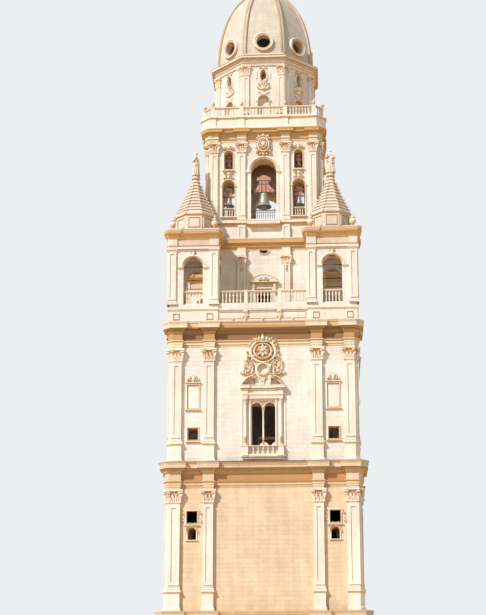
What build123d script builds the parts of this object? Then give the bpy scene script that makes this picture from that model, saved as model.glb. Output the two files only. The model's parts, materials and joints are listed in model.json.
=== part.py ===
"""Bell tower of a Renaissance and Baroque church, as a display model at one tenth of real size.

The front faces -Y, +X is to its right, +Z is up, and the origin is the centre of its foot on the ground.
Sizes are millimetres of the model, so 100 mm stand for one metre of the real tower.
The four sides are alike, so most pieces are drawn in plan for one side and repeated on the others.
"""
import math
import os

from build123d import *

# Heights of the storeys, from the ground up
stage_1_height = 1560
stage_2_height = 1450
stage_3_height = 1430
terrace_height = 190
core_height = 1020
belfry_height = 1030
attic_height = 140
drum_height = 750

# Wall planes, as half the width of each storey between its pilasters
stage_1_half = 950
stage_2_half = 930
stage_3_half = 915
core_half = 595
stage_wall_thickness = 220
core_wall_thickness = 155
corner_chamfer = 40

# Pilasters of the three lower storeys
pilaster_centre = 537
corner_pier_start = 812
pilaster_width = 98
pilaster_projection = 35
pedestal_height = 200
pilaster_base_height = 40
pilaster_capital_height = 130
pilaster_capital_flare = 22
pilaster_base_reach = 9
pedestal_reach = 16
shaft_panel_width = 45
shaft_panel_depth = 8
shaft_panel_margin = 45

# Entablatures of the three lower storeys
entablature_height = 270
cornice_projection = 63
cornice_break_width = 230
entablature_ring_width = 200

# Windows and frames of the three lower storeys
bay_centre = 695
small_window_width = 96
small_window_height = 112
small_window_frame = 14
frame_projection = 14
stage_3_small_window_sill = 235
stage_2_small_window_sill = 855
lower_niche_width = 80
lower_niche_height = 120
lower_niche_sill = 690
tablet_width = 137
tablet_height = 295
tablet_sill = 540
tablet_rim = 14

# Two-light window of the third storey, with its frame and cartouche
light_radius = 53
colonnette_width = 27
light_sill = 165
light_springing = 547
tracery_thickness = 40
window_parapet_sill = 60
window_order_centre = 175
window_order_width = 36
window_order_projection = 30
window_strip_width = 16
window_entablature_sill = 640
window_entablature_height = 135
window_entablature_half = 230
window_cornice_projection = 26
window_pediment_height = 100
window_pediment_gap = 95
window_pediment_band = 34
aedicule_half = 84
aedicule_height = 300
oculus_radius = 46
oculus_share = 0.55
cartouche_radius = 118
cartouche_width_share = 1.14
cartouche_centre = 1180
cartouche_projection = 62

# Doorway of the ground storey
door_width = 220
door_springing = 330
door_leaf_thickness = 12
door_frame_width = 36
door_reveal = 90

# Terrace with its corner pavilions
terrace_half = 935
terrace_wall_thickness = 200
terrace_floor_thickness = 50
parapet_ledge_height = 16
parapet_ledge_drop = 62
parapet_ledge_projection = 12
plinth_projection = 15
plinth_inner_reach = 8
pavilion_half = 245
pavilion_centre = terrace_half + plinth_projection - pavilion_half
pavilion_height = 800
pavilion_wall_thickness = 90
pavilion_arch_radius = 99
pavilion_arch_springing = 405
pavilion_pilaster_width = 78
pavilion_pilaster_projection = 12
pavilion_cornice_height = 60
pavilion_cornice_projection = 50
pavilion_cornice_chamfer = 45
pavilion_band_height = 24
pavilion_band_drop = 150
pavilion_band_projection = 8
spire_block_height = 210
spire_block_apothem = 200
spire_height = 470
spire_courses = 8
spire_course_lip = 6
spire_curve = 1.5
spire_top_apothem = 28
spire_cap_apothem = 46
spire_cap_height = 50

# Balustrades
balustrade_height = 150
rail_height = 18
rail_width = 30
rail_setback = 4
arch_rail_setback = 20
baluster_width = 13
baluster_spacing = 28
terrace_pedestal_centre = 170
terrace_pedestal_width = 36

# Urns and statues
urn_height = 170
urn_radius = 34
urn_inset = 42
statue_height = 240
statue_radius = 44

# Core between the pavilions
core_chamfer = 50
core_pilaster_centre = 232
core_pilaster_width = 80
core_pilaster_projection = 25
core_cornice_sill = 730
core_cornice_height = 80
core_cornice_projection = 50
core_door_width = 150
core_door_height = 260
core_pediment_sill = 340
core_pediment_width = 290
core_pediment_height = 80
core_pediment_rise = 56
core_pediment_projection = 45
core_oculus_width = 87
core_oculus_height = 50
core_oculus_centre = 685
balcony_half = 170
balcony_projection = 60

# Belfry
belfry_floor_thickness = 50
belfry_outer_centre = 521
belfry_outer_width = 72
belfry_capital_height = 110
belfry_capital_flare = 14
belfry_entablature_height = 150
belfry_cornice_projection = 50
central_arch_radius = 134
central_arch_springing = 565
side_bay_centre = 370
lower_arch_radius = 62
lower_arch_sill = 50
lower_arch_springing = 400
upper_window_width = 84
upper_window_sill = 590
upper_window_height = 205
upper_window_rise = 25
railing_height = 125
railing_setback = 12
railing_bar = 5
railing_spacing = 22
side_balustrade_height = 105
side_rail_setback = 8

# Bells with their yokes, as the great bell and two smaller sizes drawn in proportion to it
great_axle_height = 360
side_axle_height = 305
small_axle_height = 705
great_bell_scale = 1.0
side_bell_scale = 0.56
small_bell_scale = 0.38
bell_mouth_radius = 80
bell_wall = 7
bell_height = 155
bell_drop = 22
clapper_radius = 11
yoke_arm_half_height = 14
yoke_neck_half = 52
yoke_head_half = 76
yoke_head_height = 178
yoke_thickness = 44
pin_radius = 6
pin_clearance = 0.05
bearing_size = 34
bearing_gap = 6

# Attic and balustrade above the belfry
attic_wall_thickness = 150
roof_deck_thickness = 50
attic_half = core_half + core_pilaster_projection + 30
attic_chamfer = 90
top_balustrade_height = 115
top_inner_pedestal = core_pilaster_centre
top_pedestal_width = 46
top_corner_row_half = 50
finial_height = 70
finial_radius = 22

# Octagonal drum
drum_apothem = 525
drum_wall_thickness = 100
drum_pilaster_width = 62
drum_pilaster_projection = 16
drum_entablature_height = 105
drum_cornice_projection = 62
drum_capital_height = 110
drum_capital_flare = 12
oval_window_width = 60
oval_window_height = 130
oval_window_centre = 525
drum_niche_width = 113
drum_niche_height = 290
drum_niche_depth = 40

# Dome and lantern
dome_kerb_height = 50
dome_apothem = 505
dome_kerb_reach = 12
dome_rise = 910
dome_top_apothem = 195
dome_thickness = 50
dome_rib_width = 44
dome_rib_projection = 12
dome_oculus_radius = 78
dome_oculus_ring = 30
dome_oculus_projection = 22
dome_oculus_height = 140
dome_joint_height = 335  # joint between the lower gores of the dome and the vault on them
lantern_base_height = 60
lantern_apothem = 145
lantern_height = 300
lantern_wall_thickness = 30
lantern_opening_width = 56
lantern_opening_height = 230
lantern_opening_sill = 30
lantern_cornice_height = 45
lantern_cornice_projection = 36
cupola_height = 170
ball_radius = 35
cross_height = 130
cross_width = 78
cross_bar = 12

# Levels worked out from the heights
stage_2_level = stage_1_height
stage_3_level = stage_2_level + stage_2_height
terrace_level = stage_3_level + stage_3_height
terrace_top = terrace_level + terrace_height
belfry_level = terrace_top + core_height
belfry_top = belfry_level + belfry_height
attic_top = belfry_top + attic_height
drum_top = attic_top + drum_height
dome_level = drum_top + dome_kerb_height
dome_top = dome_level + dome_rise
core_cornice_level = terrace_top + core_cornice_sill
octagon_step = 45


def block(x0, x1, y0, y1, z0, z1):
    """A plain box between three pairs of limits."""
    return Pos((x0 + x1) / 2, (y0 + y1) / 2, (z0 + z1) / 2) * Box(x1 - x0, y1 - y0, z1 - z0)


def plate(x0, x1, y0, y1):
    """A flat rectangle in plan between two pairs of limits."""
    return Pos((x0 + x1) / 2, (y0 + y1) / 2) * Rectangle(x1 - x0, y1 - y0)


def raise_plan(plan, z0, z1):
    """A plan drawn at the ground, raised as a prism between two heights."""
    return Pos(0, 0, z0) * extrude(plan, z1 - z0, dir=(0, 0, 1))


def on_four_sides(shape):
    """The front piece and its three copies, turned to the right, back and left sides."""
    return [Rot(0, 0, 90 * turn) * shape for turn in range(4)]


def fuse(shapes):
    """Several touching or crossing shapes joined into one."""
    shapes = list(shapes)
    return shapes[0].fuse(*shapes[1:]) if len(shapes) > 1 else shapes[0]


def front_prism(profile, y0, y1):
    """A profile drawn in the front plane, as x across and y up, carried back from y0 to y1."""
    return Pos(0, y0, 0) * extrude(Plane.XZ * profile, y1 - y0, dir=(0, 1, 0))


def round_head(width, sill, springing):
    """The outline of a round-headed opening, with its sill and springing line."""
    body = plate(-width / 2, width / 2, sill, springing)
    return body + Pos(0, springing) * Circle(width / 2)


def segmental_head(width, sill, height, rise):
    """The outline of an opening under a flat arch."""
    half = width / 2
    side_top = sill + height - rise
    base = Polyline((half, side_top), (half, sill), (-half, sill), (-half, side_top))
    arch = ThreePointArc((-half, side_top), (0, sill + height), (half, side_top))
    return make_face(base + arch)


def plan_with_breaks(half, break_half, breaks, corner_start, chamfer):
    """A square plan whose sides step forward at breaks and at the corners, with cut corners."""
    plan = Rectangle(2 * half, 2 * half)
    for start, end in breaks:
        plan += plate(start, end, -break_half, break_half) + plate(-end, -start, -break_half, break_half)
        plan += plate(-break_half, break_half, start, end) + plate(-break_half, break_half, -end, -start)
    if corner_start < break_half:
        corner = plate(corner_start, break_half, corner_start, break_half)
        plan += [Rot(0, 0, 90 * turn) * corner for turn in range(4)]
    diagonal = (2 * break_half - chamfer) / math.sqrt(2)
    return plan & (Rot(0, 0, 45) * Rectangle(2 * diagonal, 2 * diagonal))


def octagon(apothem):
    """A regular octagon in plan with a flat side to the front."""
    return Rot(0, 0, octagon_step / 2) * RegularPolygon(apothem / math.cos(math.radians(22.5)), 8)


def turned(levels, sides=8):
    """A post of few sides, lofted through polygons given as height and radius."""
    sections = [Pos(0, 0, z) * RegularPolygon(radius, sides) for z, radius in levels]
    return loft(sections, ruled=True)


def cut_square(half, chamfer):
    """A square plan with cut corners."""
    return plan_with_breaks(half, half, [], half, chamfer)


def entablature(half, projection, breaks, corner_start, level, height, lip, chamfer, inner_half):
    """Architrave, frieze, dentil band, corona and gutter, as a stepped ring that breaks forward."""
    layers = [(0.0, 0.27, 0.1), (0.27, 0.32, 0.25), (0.32, 0.6, 0.05), (0.6, 0.74, 0.45),
              (0.74, 0.92, 0.9), (0.92, 1.0, 1.0)]
    rings = []
    for start, end, share in layers:
        reach = share * lip
        spans = [(a - reach, b + reach) for a, b in breaks]
        plan = plan_with_breaks(half + reach, half + projection + reach, spans, corner_start - reach, chamfer)
        plan -= Rectangle(2 * inner_half, 2 * inner_half)
        rings.append(raise_plan(plan, level + start * height, level + end * height))
    return fuse(rings)


def pilasters(half, level, top):
    """Pedestals, bases, panelled shafts and flared capitals of one lower storey, all four sides."""
    plane = half + pilaster_projection
    shaft_start = level + pedestal_height + pilaster_base_height
    shaft_end = top - pilaster_capital_height
    capital_step = pilaster_capital_height / 3
    layers = [(level, level + pedestal_height, pedestal_reach),
              (level + pedestal_height, shaft_start, pilaster_base_reach),
              (shaft_start, shaft_end, 0),
              (shaft_end, shaft_end + capital_step, 0.3 * pilaster_capital_flare),
              (shaft_end + capital_step, shaft_end + 2 * capital_step, 0.6 * pilaster_capital_flare),
              (shaft_end + 2 * capital_step, top, pilaster_capital_flare)]
    solids = []
    for z0, z1, extra in layers:
        reach = pilaster_width / 2 + extra
        plan = plan_with_breaks(half, plane + extra, [(pilaster_centre - reach, pilaster_centre + reach)],
                                corner_pier_start - extra, corner_chamfer)
        plan -= Rectangle(2 * half, 2 * half)
        solids.append(raise_plan(plan, z0, z1))
    order = fuse(solids)
    corner_panel = corner_pier_start + pilaster_width / 2
    for centre in (-corner_panel, -pilaster_centre, pilaster_centre, corner_panel):
        panel = block(centre - shaft_panel_width / 2, centre + shaft_panel_width / 2,
                      -plane - 1, shaft_panel_depth - plane,
                      shaft_start + shaft_panel_margin, shaft_end - shaft_panel_margin)
        order = order.cut(*on_four_sides(panel))
    return order


def lower_entablature(half, top):
    """The entablature of one lower storey, carried by its walls and pilasters."""
    reach = cornice_break_width / 2 - cornice_projection
    corner_start = corner_pier_start + pilaster_width / 2 - reach
    return entablature(half, pilaster_projection, [(pilaster_centre - reach, pilaster_centre + reach)],
                       corner_start, top - entablature_height, entablature_height,
                       cornice_projection, corner_chamfer, half - entablature_ring_width)


def small_window(sill, depth_front, depth_back):
    """The two square openings of the side bays, cut right through the wall."""
    hole = block(bay_centre - small_window_width / 2, bay_centre + small_window_width / 2,
                 depth_front, depth_back, sill, sill + small_window_height)
    return [hole, mirror(hole, Plane.YZ)]


def wall_ring(half, thickness, z0, z1):
    """Four masonry walls in one mass, as a square tube."""
    inner = half - thickness
    return raise_plan(Rectangle(2 * half, 2 * half) - Rectangle(2 * inner, 2 * inner), z0, z1)


def square_frame(width, height, rim, y_wall, sill):
    """A raised frame round a square opening or tablet, with a small sill below it."""
    outer = plate(-width / 2 - rim, width / 2 + rim, sill - rim, sill + height + rim)
    frame = front_prism(outer - plate(-width / 2, width / 2, sill, sill + height),
                        y_wall - frame_projection, y_wall)
    ledge = block(-width / 2 - 2 * rim, width / 2 + 2 * rim, y_wall - 1.5 * frame_projection, y_wall,
                  sill - 2 * rim, sill - rim)
    return frame + ledge


def both_bays(shape):
    """A piece of the right side bay and its twin in the left one."""
    return [Pos(bay_centre, 0, 0) * shape, Pos(-bay_centre, 0, 0) * shape]


def lower_walls():
    """The two lower storeys as square tubes, with side windows, and the doorway in the ground storey."""
    walls = {}
    for name, half, level, height in (("stage1_walls", stage_1_half, 0, stage_1_height),
                                      ("stage2_walls", stage_2_half, stage_2_level, stage_2_height)):
        ring = wall_ring(half, stage_wall_thickness, level, level + height - entablature_height)
        front = -half - 1
        back = -half + stage_wall_thickness + 1
        sill = level + stage_2_small_window_sill
        niche = front_prism(round_head(lower_niche_width, level + lower_niche_sill,
                                       level + lower_niche_sill + lower_niche_height - lower_niche_width / 2),
                            front, back)
        cuts = small_window(sill, front, back) + both_bays(niche)
        for hole in cuts:
            ring = ring.cut(*on_four_sides(hole))
        walls[name] = ring
    door = front_prism(round_head(door_width, 0, door_springing), -stage_1_half - 1,
                       -stage_1_half + stage_wall_thickness + 1)
    walls["stage1_walls"] = walls["stage1_walls"] - door
    return walls


def lower_frames():
    """Frames round the side windows of the two lower storeys, and round the doorway."""
    frames = []
    for half, level in ((stage_1_half, 0), (stage_2_half, stage_2_level)):
        window = square_frame(small_window_width, small_window_height, small_window_frame, -half,
                              level + stage_2_small_window_sill)
        niche_top = level + lower_niche_sill + lower_niche_height - lower_niche_width / 2
        outer = round_head(lower_niche_width + 2 * small_window_frame, level + lower_niche_sill, niche_top)
        inner = round_head(lower_niche_width, level + lower_niche_sill - 1, niche_top)
        niche = front_prism(outer - inner, -half - frame_projection, -half)
        for shape in both_bays(window) + both_bays(niche):
            frames += on_four_sides(shape)
    outer = round_head(door_width + 2 * door_frame_width, 0, door_springing)
    inner = round_head(door_width, 0, door_springing)
    frames.append(front_prism(outer - inner, -stage_1_half - 2 * frame_projection, -stage_1_half))
    return Compound(frames)


def door_leaves():
    """Two closed timber leaves in the doorway, meeting in the middle."""
    y0 = -stage_1_half + door_reveal
    shape = front_prism(round_head(door_width, 0, door_springing), y0, y0 + door_leaf_thickness)
    groove = block(-1, 1, y0 - 1, y0 + 3, -1, door_springing + door_width)
    return shape - groove


def stage_3_wall():
    """The front wall of the third storey, with its two-light window and two side windows."""
    half = stage_3_half
    top = terrace_level - entablature_height
    wall = block(-half, half, -half, -half + stage_wall_thickness, stage_3_level, top)
    opening_half = colonnette_width / 2 + 2 * light_radius
    window_top = stage_3_level + light_springing + light_radius + window_order_projection / 2
    window = block(-opening_half, opening_half, -half - 1, -half + stage_wall_thickness + 1,
                   stage_3_level + light_sill, window_top)
    cuts = [window] + small_window(stage_3_level + stage_3_small_window_sill, -half - 1,
                                   -half + stage_wall_thickness + 1)
    return wall.cut(*cuts)


def side_wall(front_wall, half, thickness):
    """A front wall turned to the right side and shortened to stand between front and back walls."""
    turned_wall = Rot(0, 0, 90) * front_wall
    inner = half - thickness
    return turned_wall & block(-half - 1, half + 1, -inner, inner, 0, dome_top)


def two_light_tracery():
    """The middle colonnette and the head with its two round arches, set in the window opening."""
    level = stage_3_level
    half_width = colonnette_width / 2 + 2 * light_radius
    plate_top = level + light_springing + light_radius + window_order_projection / 2
    tracery = plate(-half_width, half_width, level + light_sill, plate_top)
    for side in (-1, 1):
        x = side * (colonnette_width / 2 + light_radius)
        tracery -= Pos(x, 0) * round_head(2 * light_radius, level + light_sill, level + light_springing)
    return front_prism(tracery, -stage_3_half, tracery_thickness - stage_3_half)


def pediment_half(half, inner_end, rise, band):
    """The right half of a broken curved pediment, as a band that springs inward and up."""
    middle_x = 0.55 * half + 0.45 * inner_end
    lower_x = half - 1.6 * band
    outline = (ThreePointArc((half, 0), (middle_x, 0.72 * rise), (inner_end, rise))
               + Line((inner_end, rise), (inner_end, rise - band))
               + ThreePointArc((inner_end, rise - band), (middle_x - 0.3 * band, 0.72 * rise - band), (lower_x, 0))
               + Line((lower_x, 0), (half, 0)))
    return make_face(outline)


def window_surround():
    """Parapet, posts, entablature, pediment, aedicule and cartouche before the two-light window."""
    wall = -stage_3_half
    level = stage_3_level
    front = wall - window_order_projection
    light_half = colonnette_width / 2 + 2 * light_radius
    sill_half = window_order_centre + window_order_width
    pieces = [block(-sill_half, sill_half, front, wall, level + window_parapet_sill, level + light_sill)]
    for side in (-1, 1):
        x = side * window_order_centre
        pieces.append(block(x - window_order_width / 2, x + window_order_width / 2, front, wall,
                            level + light_sill, level + window_entablature_sill))
        x = side * (light_half + window_strip_width / 2)
        pieces.append(block(x - window_strip_width / 2, x + window_strip_width / 2,
                            wall - window_order_projection / 2, wall,
                            level + light_sill, level + window_entablature_sill))
    base = level + window_entablature_sill
    thirds = window_entablature_height / 3
    entablature_steps = []
    for step, share in enumerate((0, 0.25, 1)):
        reach = share * window_cornice_projection
        edge = window_entablature_half - window_cornice_projection + reach
        entablature_steps.append(block(-edge, edge, front - reach, wall,
                                       base + step * thirds, base + (step + 1) * thirds))
    pieces.append(fuse(entablature_steps))
    crown = base + window_entablature_height
    half = pediment_half(window_entablature_half, window_pediment_gap, window_pediment_height,
                         window_pediment_band)
    for shape in (half, mirror(half, Plane.YZ)):
        pieces.append(front_prism(Pos(0, crown) * shape, front, wall))
    centre = level + cartouche_centre
    disc = Pos(0, centre) * Ellipse(cartouche_radius * cartouche_width_share, cartouche_radius)
    aedicule = plate(-aedicule_half, aedicule_half, crown, crown + aedicule_height)
    aedicule -= Pos(0, crown + aedicule_height * oculus_share) * Circle(oculus_radius)
    pieces.append(front_prism(aedicule - disc, front, wall))
    pieces.append(front_prism(disc, wall - cartouche_projection, wall))
    return pieces


def stage_3_frames():
    """Side window frames and blank tablets of the third storey, all four sides."""
    window = square_frame(small_window_width, small_window_height, small_window_frame, -stage_3_half,
                          stage_3_level + stage_3_small_window_sill)
    tablet = square_frame(tablet_width - 2 * tablet_rim, tablet_height - 2 * tablet_rim, tablet_rim,
                          -stage_3_half, stage_3_level + tablet_sill + tablet_rim)
    shapes = []
    for shape in both_bays(window) + both_bays(tablet):
        shapes += on_four_sides(shape)
    return Compound(shapes)


def terrace():
    """The terrace podium with its ledge moulding and its stone floor."""
    podium = wall_ring(terrace_half, terrace_wall_thickness, terrace_level, terrace_top)
    floor = raise_plan(Rectangle(2 * terrace_half - 2, 2 * terrace_half - 2),
                       terrace_top - terrace_floor_thickness, terrace_top)
    ledge_half = terrace_half + parapet_ledge_projection
    ledge_z = terrace_top - parapet_ledge_drop
    ledge = raise_plan(Rectangle(2 * ledge_half, 2 * ledge_half), ledge_z, ledge_z + parapet_ledge_height)
    ledge -= raise_plan(Rectangle(2 * terrace_half - 4, 2 * terrace_half - 4), ledge_z - 1, terrace_top)
    plinth_inner = pavilion_centre - pavilion_half - plinth_inner_reach
    plinths = []
    for sx in (-1, 1):
        for sy in (-1, 1):
            edges_x = sorted((sx * plinth_inner, sx * (terrace_half + plinth_projection)))
            edges_y = sorted((sy * plinth_inner, sy * (terrace_half + plinth_projection)))
            plinths.append(block(*edges_x, *edges_y, terrace_level, terrace_top))
    inner = terrace_half - terrace_wall_thickness
    cavity = block(-inner, inner, -inner, inner, terrace_level - 1, terrace_top - terrace_floor_thickness)
    return fuse([podium, floor, ledge] + plinths) - cavity


def core_envelope():
    """The filled outline of the core, its cornice and the belfry, which the pavilions stand against."""
    plan = cut_square(core_half, core_chamfer)
    reach = core_half + core_cornice_projection
    lip = cut_square(reach, core_chamfer)
    belfry = cut_square(core_half + core_pilaster_projection, core_chamfer)
    return (raise_plan(plan, terrace_top - 1, belfry_level + 1)
            + raise_plan(lip, core_cornice_level, core_cornice_level + core_cornice_height)
            + raise_plan(belfry, belfry_level - belfry_floor_thickness, belfry_top))


def pavilion(envelope):
    """One open pavilion, at the front right corner, with an arch on each side and corner pilasters."""
    top = terrace_top + pavilion_height - pavilion_cornice_height
    shell = Rectangle(2 * pavilion_half, 2 * pavilion_half)
    inner = pavilion_half - pavilion_wall_thickness
    walls = raise_plan(shell - Rectangle(2 * inner, 2 * inner), terrace_top, top)
    arch = front_prism(round_head(2 * pavilion_arch_radius, terrace_top, terrace_top + pavilion_arch_springing),
                       -pavilion_half - 1, pavilion_half + 1)
    walls = walls.cut(arch, Rot(0, 0, 90) * arch)
    order = []
    edge = pavilion_half - pavilion_pilaster_width
    for sx in (-1, 1):
        for sy in (-1, 1):
            reach = pavilion_half + pavilion_pilaster_projection
            span_x = sorted((sx * edge, sx * reach))
            span_y = sorted((sy * edge, sy * reach))
            order.append(block(*span_x, *span_y, terrace_top, top))
    shaft = raise_plan(shell, terrace_top - 1, top + 1)
    order = [piece - shaft for piece in order]
    reach = pavilion_half + pavilion_pilaster_projection + pavilion_band_projection
    band = raise_plan(Rectangle(2 * reach, 2 * reach) - shell,
                      top - pavilion_band_drop, top - pavilion_band_drop + pavilion_band_height)
    shape = Pos(pavilion_centre, -pavilion_centre, 0) * fuse([walls, band] + order)
    return shape - envelope


def pavilion_roof(envelope):
    """Cornice, octagonal block, stepped eight-sided spire and pedestal of one pavilion."""
    base = terrace_top + pavilion_height - pavilion_cornice_height
    pieces = []
    for start, end, share in ((0.0, 0.4, 0.45), (0.4, 1.0, 1.0)):
        reach = pavilion_half + pavilion_pilaster_projection + share * pavilion_cornice_projection
        pieces.append(raise_plan(cut_square(reach, pavilion_cornice_chamfer),
                                 base + start * pavilion_cornice_height, base + end * pavilion_cornice_height))
    block_base = base + pavilion_cornice_height
    pieces.append(raise_plan(octagon(spire_block_apothem), block_base, block_base + spire_block_height))
    spire_base = block_base + spire_block_height
    course = spire_height / spire_courses
    narrowing = spire_block_apothem - spire_top_apothem
    for step in range(spire_courses):
        lower = spire_block_apothem - narrowing * (step / spire_courses) ** spire_curve + spire_course_lip
        upper = spire_block_apothem - narrowing * ((step + 1) / spire_courses) ** spire_curve
        sections = [Pos(0, 0, spire_base + step * course) * octagon(lower),
                    Pos(0, 0, spire_base + (step + 1) * course) * octagon(upper)]
        pieces.append(loft(sections, ruled=True))
    cap_base = spire_base + spire_height
    pieces.append(raise_plan(octagon(spire_cap_apothem), cap_base, cap_base + spire_cap_height))
    return Pos(pavilion_centre, -pavilion_centre, 0) * fuse(pieces) - envelope


def baluster_row(x0, x1, z0, height, y):
    """One bay of balustrade between two pedestals: bottom rail, top rail and balusters."""
    bay = x1 - x0
    count = max(1, round(bay / baluster_spacing) - 1)
    pitch = bay / (count + 1)
    half = rail_width / 2
    pieces = [block(x0, x1, y - half, y + half, z0, z0 + rail_height),
              block(x0, x1, y - half, y + half, z0 + height - rail_height, z0 + height)]
    for index in range(count):
        x = x0 + (index + 1) * pitch
        pieces.append(block(x - baluster_width / 2, x + baluster_width / 2,
                            y - baluster_width / 2, y + baluster_width / 2,
                            z0 + rail_height, z0 + height - rail_height))
    return pieces


def terrace_balustrades():
    """Three bays of balustrade on each side, between the pavilions."""
    y = -terrace_half + rail_width / 2 + rail_setback
    end = pavilion_centre - pavilion_half - pavilion_pilaster_projection - pavilion_band_projection
    half = terrace_pedestal_width / 2
    pieces = []
    for x0, x1 in ((-end, -terrace_pedestal_centre - half),
                   (-terrace_pedestal_centre + half, terrace_pedestal_centre - half),
                   (terrace_pedestal_centre + half, end)):
        pieces += baluster_row(x0, x1, terrace_top, balustrade_height, y)
    for x in (-terrace_pedestal_centre, terrace_pedestal_centre):
        pieces.append(block(x - half, x + half, y - half, y + half, terrace_top,
                            terrace_top + balustrade_height))
    return Compound(on_four_sides(fuse(pieces)))


def pavilion_balustrades():
    """Short balustrades in the two outer arches of each pavilion."""
    y = -pavilion_centre - pavilion_half + rail_width / 2 + arch_rail_setback
    x0 = pavilion_centre - pavilion_arch_radius
    x1 = pavilion_centre + pavilion_arch_radius
    row = fuse(baluster_row(x0, x1, terrace_top, balustrade_height, y))
    return Compound(on_four_sides(row) + on_four_sides(mirror(row, Plane.YZ)))


def statue():
    """A draped standing figure of plain form, on its pedestal."""
    r = statue_radius
    h = statue_height
    robe = turned([(0, r), (0.12 * h, 0.86 * r), (0.5 * h, 0.66 * r), (0.72 * h, 0.8 * r),
                   (0.8 * h, 0.45 * r), (0.83 * h, 0.26 * r)])
    head = turned([(0.82 * h, 0.24 * r), (0.87 * h, 0.36 * r), (0.93 * h, 0.4 * r), (h, 0.2 * r)])
    return robe + head


def urn():
    """A covered urn on a small foot."""
    h = urn_height
    r = urn_radius
    return turned([(0, 0.8 * r), (0.12 * h, 0.8 * r), (0.2 * h, 0.35 * r), (0.45 * h, r),
                   (0.66 * h, 0.75 * r), (0.72 * h, 0.3 * r), (h, 0.12 * r)], 6)


def corner_ornaments(envelope):
    """Urns on the pavilion corners, and the four statues."""
    roof = terrace_top + pavilion_height
    reach = pavilion_half + pavilion_pilaster_projection - urn_inset
    urns = []
    for sx in (-1, 1):
        for sy in (-1, 1):
            if (sx, sy) != (-1, 1):
                urns.append(Pos(pavilion_centre + sx * reach, -pavilion_centre + sy * reach, roof) * urn())
    all_urns = [copy for shape in urns for copy in on_four_sides(shape)]
    crown = roof + spire_block_height + spire_height + spire_cap_height
    figure = Pos(pavilion_centre, -pavilion_centre, crown) * statue()
    return Compound(all_urns), Compound(on_four_sides(figure))


def core_walls():
    """The core behind the pavilions, with a door and an oval light on each side, and its cornice."""
    inner = core_half - core_wall_thickness
    cut = Rectangle(2 * inner, 2 * inner)
    shell = raise_plan(cut_square(core_half, core_chamfer) - cut,
                       terrace_top, belfry_level - belfry_floor_thickness)
    reach = core_half + core_cornice_projection
    lips = []
    for start, end, extent in ((0.0, 0.5, core_half + core_cornice_projection / 2), (0.5, 1.0, reach)):
        plan = cut_square(extent, core_chamfer) - cut
        lips.append(raise_plan(plan, core_cornice_level + start * core_cornice_height,
                               core_cornice_level + end * core_cornice_height))
    top = core_cornice_level
    order = []
    plane = core_half + core_pilaster_projection
    for side in (-1, 1):
        x = side * core_pilaster_centre
        for z0, z1 in ((terrace_top, top),
                       (core_cornice_level + core_cornice_height, belfry_level - belfry_floor_thickness)):
            order.append(block(x - core_pilaster_width / 2, x + core_pilaster_width / 2,
                               -plane, -core_half, z0, z1))
    pediment = segmental_head(core_pediment_width, 0, core_pediment_height, core_pediment_rise)
    order.append(front_prism(Pos(0, terrace_top + core_pediment_sill) * pediment,
                             -core_half - core_pediment_projection, -core_half))
    fronts = [copy for piece in order for copy in on_four_sides(piece)]
    walls = fuse([shell] + lips + fronts)
    door = block(-core_door_width / 2, core_door_width / 2, -core_half - 1, -inner + 1,
                 terrace_top, terrace_top + core_door_height)
    oval = front_prism(Pos(0, terrace_top + core_oculus_centre)
                       * Ellipse(core_oculus_width / 2, core_oculus_height / 2), -core_half - 1, -inner + 1)
    return walls.cut(*on_four_sides(door), *on_four_sides(oval))


def belfry_floor():
    """The bell chamber's floor, which runs out through the central arches as small balconies."""
    slab = raise_plan(cut_square(core_half, core_chamfer),
                      belfry_level - belfry_floor_thickness, belfry_level)
    balcony = block(-balcony_half, balcony_half, -core_half - balcony_projection, -core_half,
                    belfry_level - belfry_floor_thickness, belfry_level)
    return fuse([slab] + on_four_sides(balcony))


def belfry_wall():
    """The front wall of the bell chamber, with four side openings, laid in parts beside and over its great arch."""
    top = belfry_top - belfry_entablature_height
    back = -core_half + core_wall_thickness
    plan = cut_square(core_half, core_chamfer) & plate(-core_half, core_half, -core_half, back)
    wall = raise_plan(plan, belfry_level, top)
    arch = front_prism(round_head(2 * central_arch_radius, belfry_level, belfry_level + central_arch_springing),
                       -core_half - 1, back + 1)
    lower = front_prism(round_head(2 * lower_arch_radius, belfry_level + lower_arch_sill,
                                   belfry_level + lower_arch_springing), -core_half - 1, back + 1)
    upper = front_prism(segmental_head(upper_window_width, belfry_level + upper_window_sill,
                                       upper_window_height, upper_window_rise), -core_half - 1, back + 1)
    cuts = [arch]
    for side in (-1, 1):
        cuts += [Pos(side * side_bay_centre, 0, 0) * lower, Pos(side * side_bay_centre, 0, 0) * upper]
    wall = wall.cut(*cuts)
    beside = block(central_arch_radius, core_half + 1, -core_half - 1, back + 1, belfry_level, top)
    over = block(-central_arch_radius, central_arch_radius, -core_half - 1, back + 1,
                 belfry_level + central_arch_springing, top)
    return [wall & beside, wall & mirror(beside, Plane.YZ), wall & over]


def belfry_order():
    """Pilasters and corner piers of the bell chamber, with flared capitals."""
    top = belfry_top - belfry_entablature_height
    capital = top - belfry_capital_height
    solids = []
    middle = (capital + top) / 2
    for z0, z1, extra in ((belfry_level, capital, 0), (capital, middle, belfry_capital_flare / 2),
                          (middle, top, belfry_capital_flare)):
        plane = core_half + core_pilaster_projection + extra
        spans = [(core_pilaster_centre - core_pilaster_width / 2 - extra,
                  core_pilaster_centre + core_pilaster_width / 2 + extra),
                 (belfry_outer_centre - belfry_outer_width / 2 - extra,
                  belfry_outer_centre + belfry_outer_width / 2 + extra)]
        plan = plan_with_breaks(core_half, plane, spans, plane, core_chamfer) - cut_square(core_half, core_chamfer)
        solids.append(raise_plan(plan, z0, z1))
    return fuse(solids)


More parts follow.
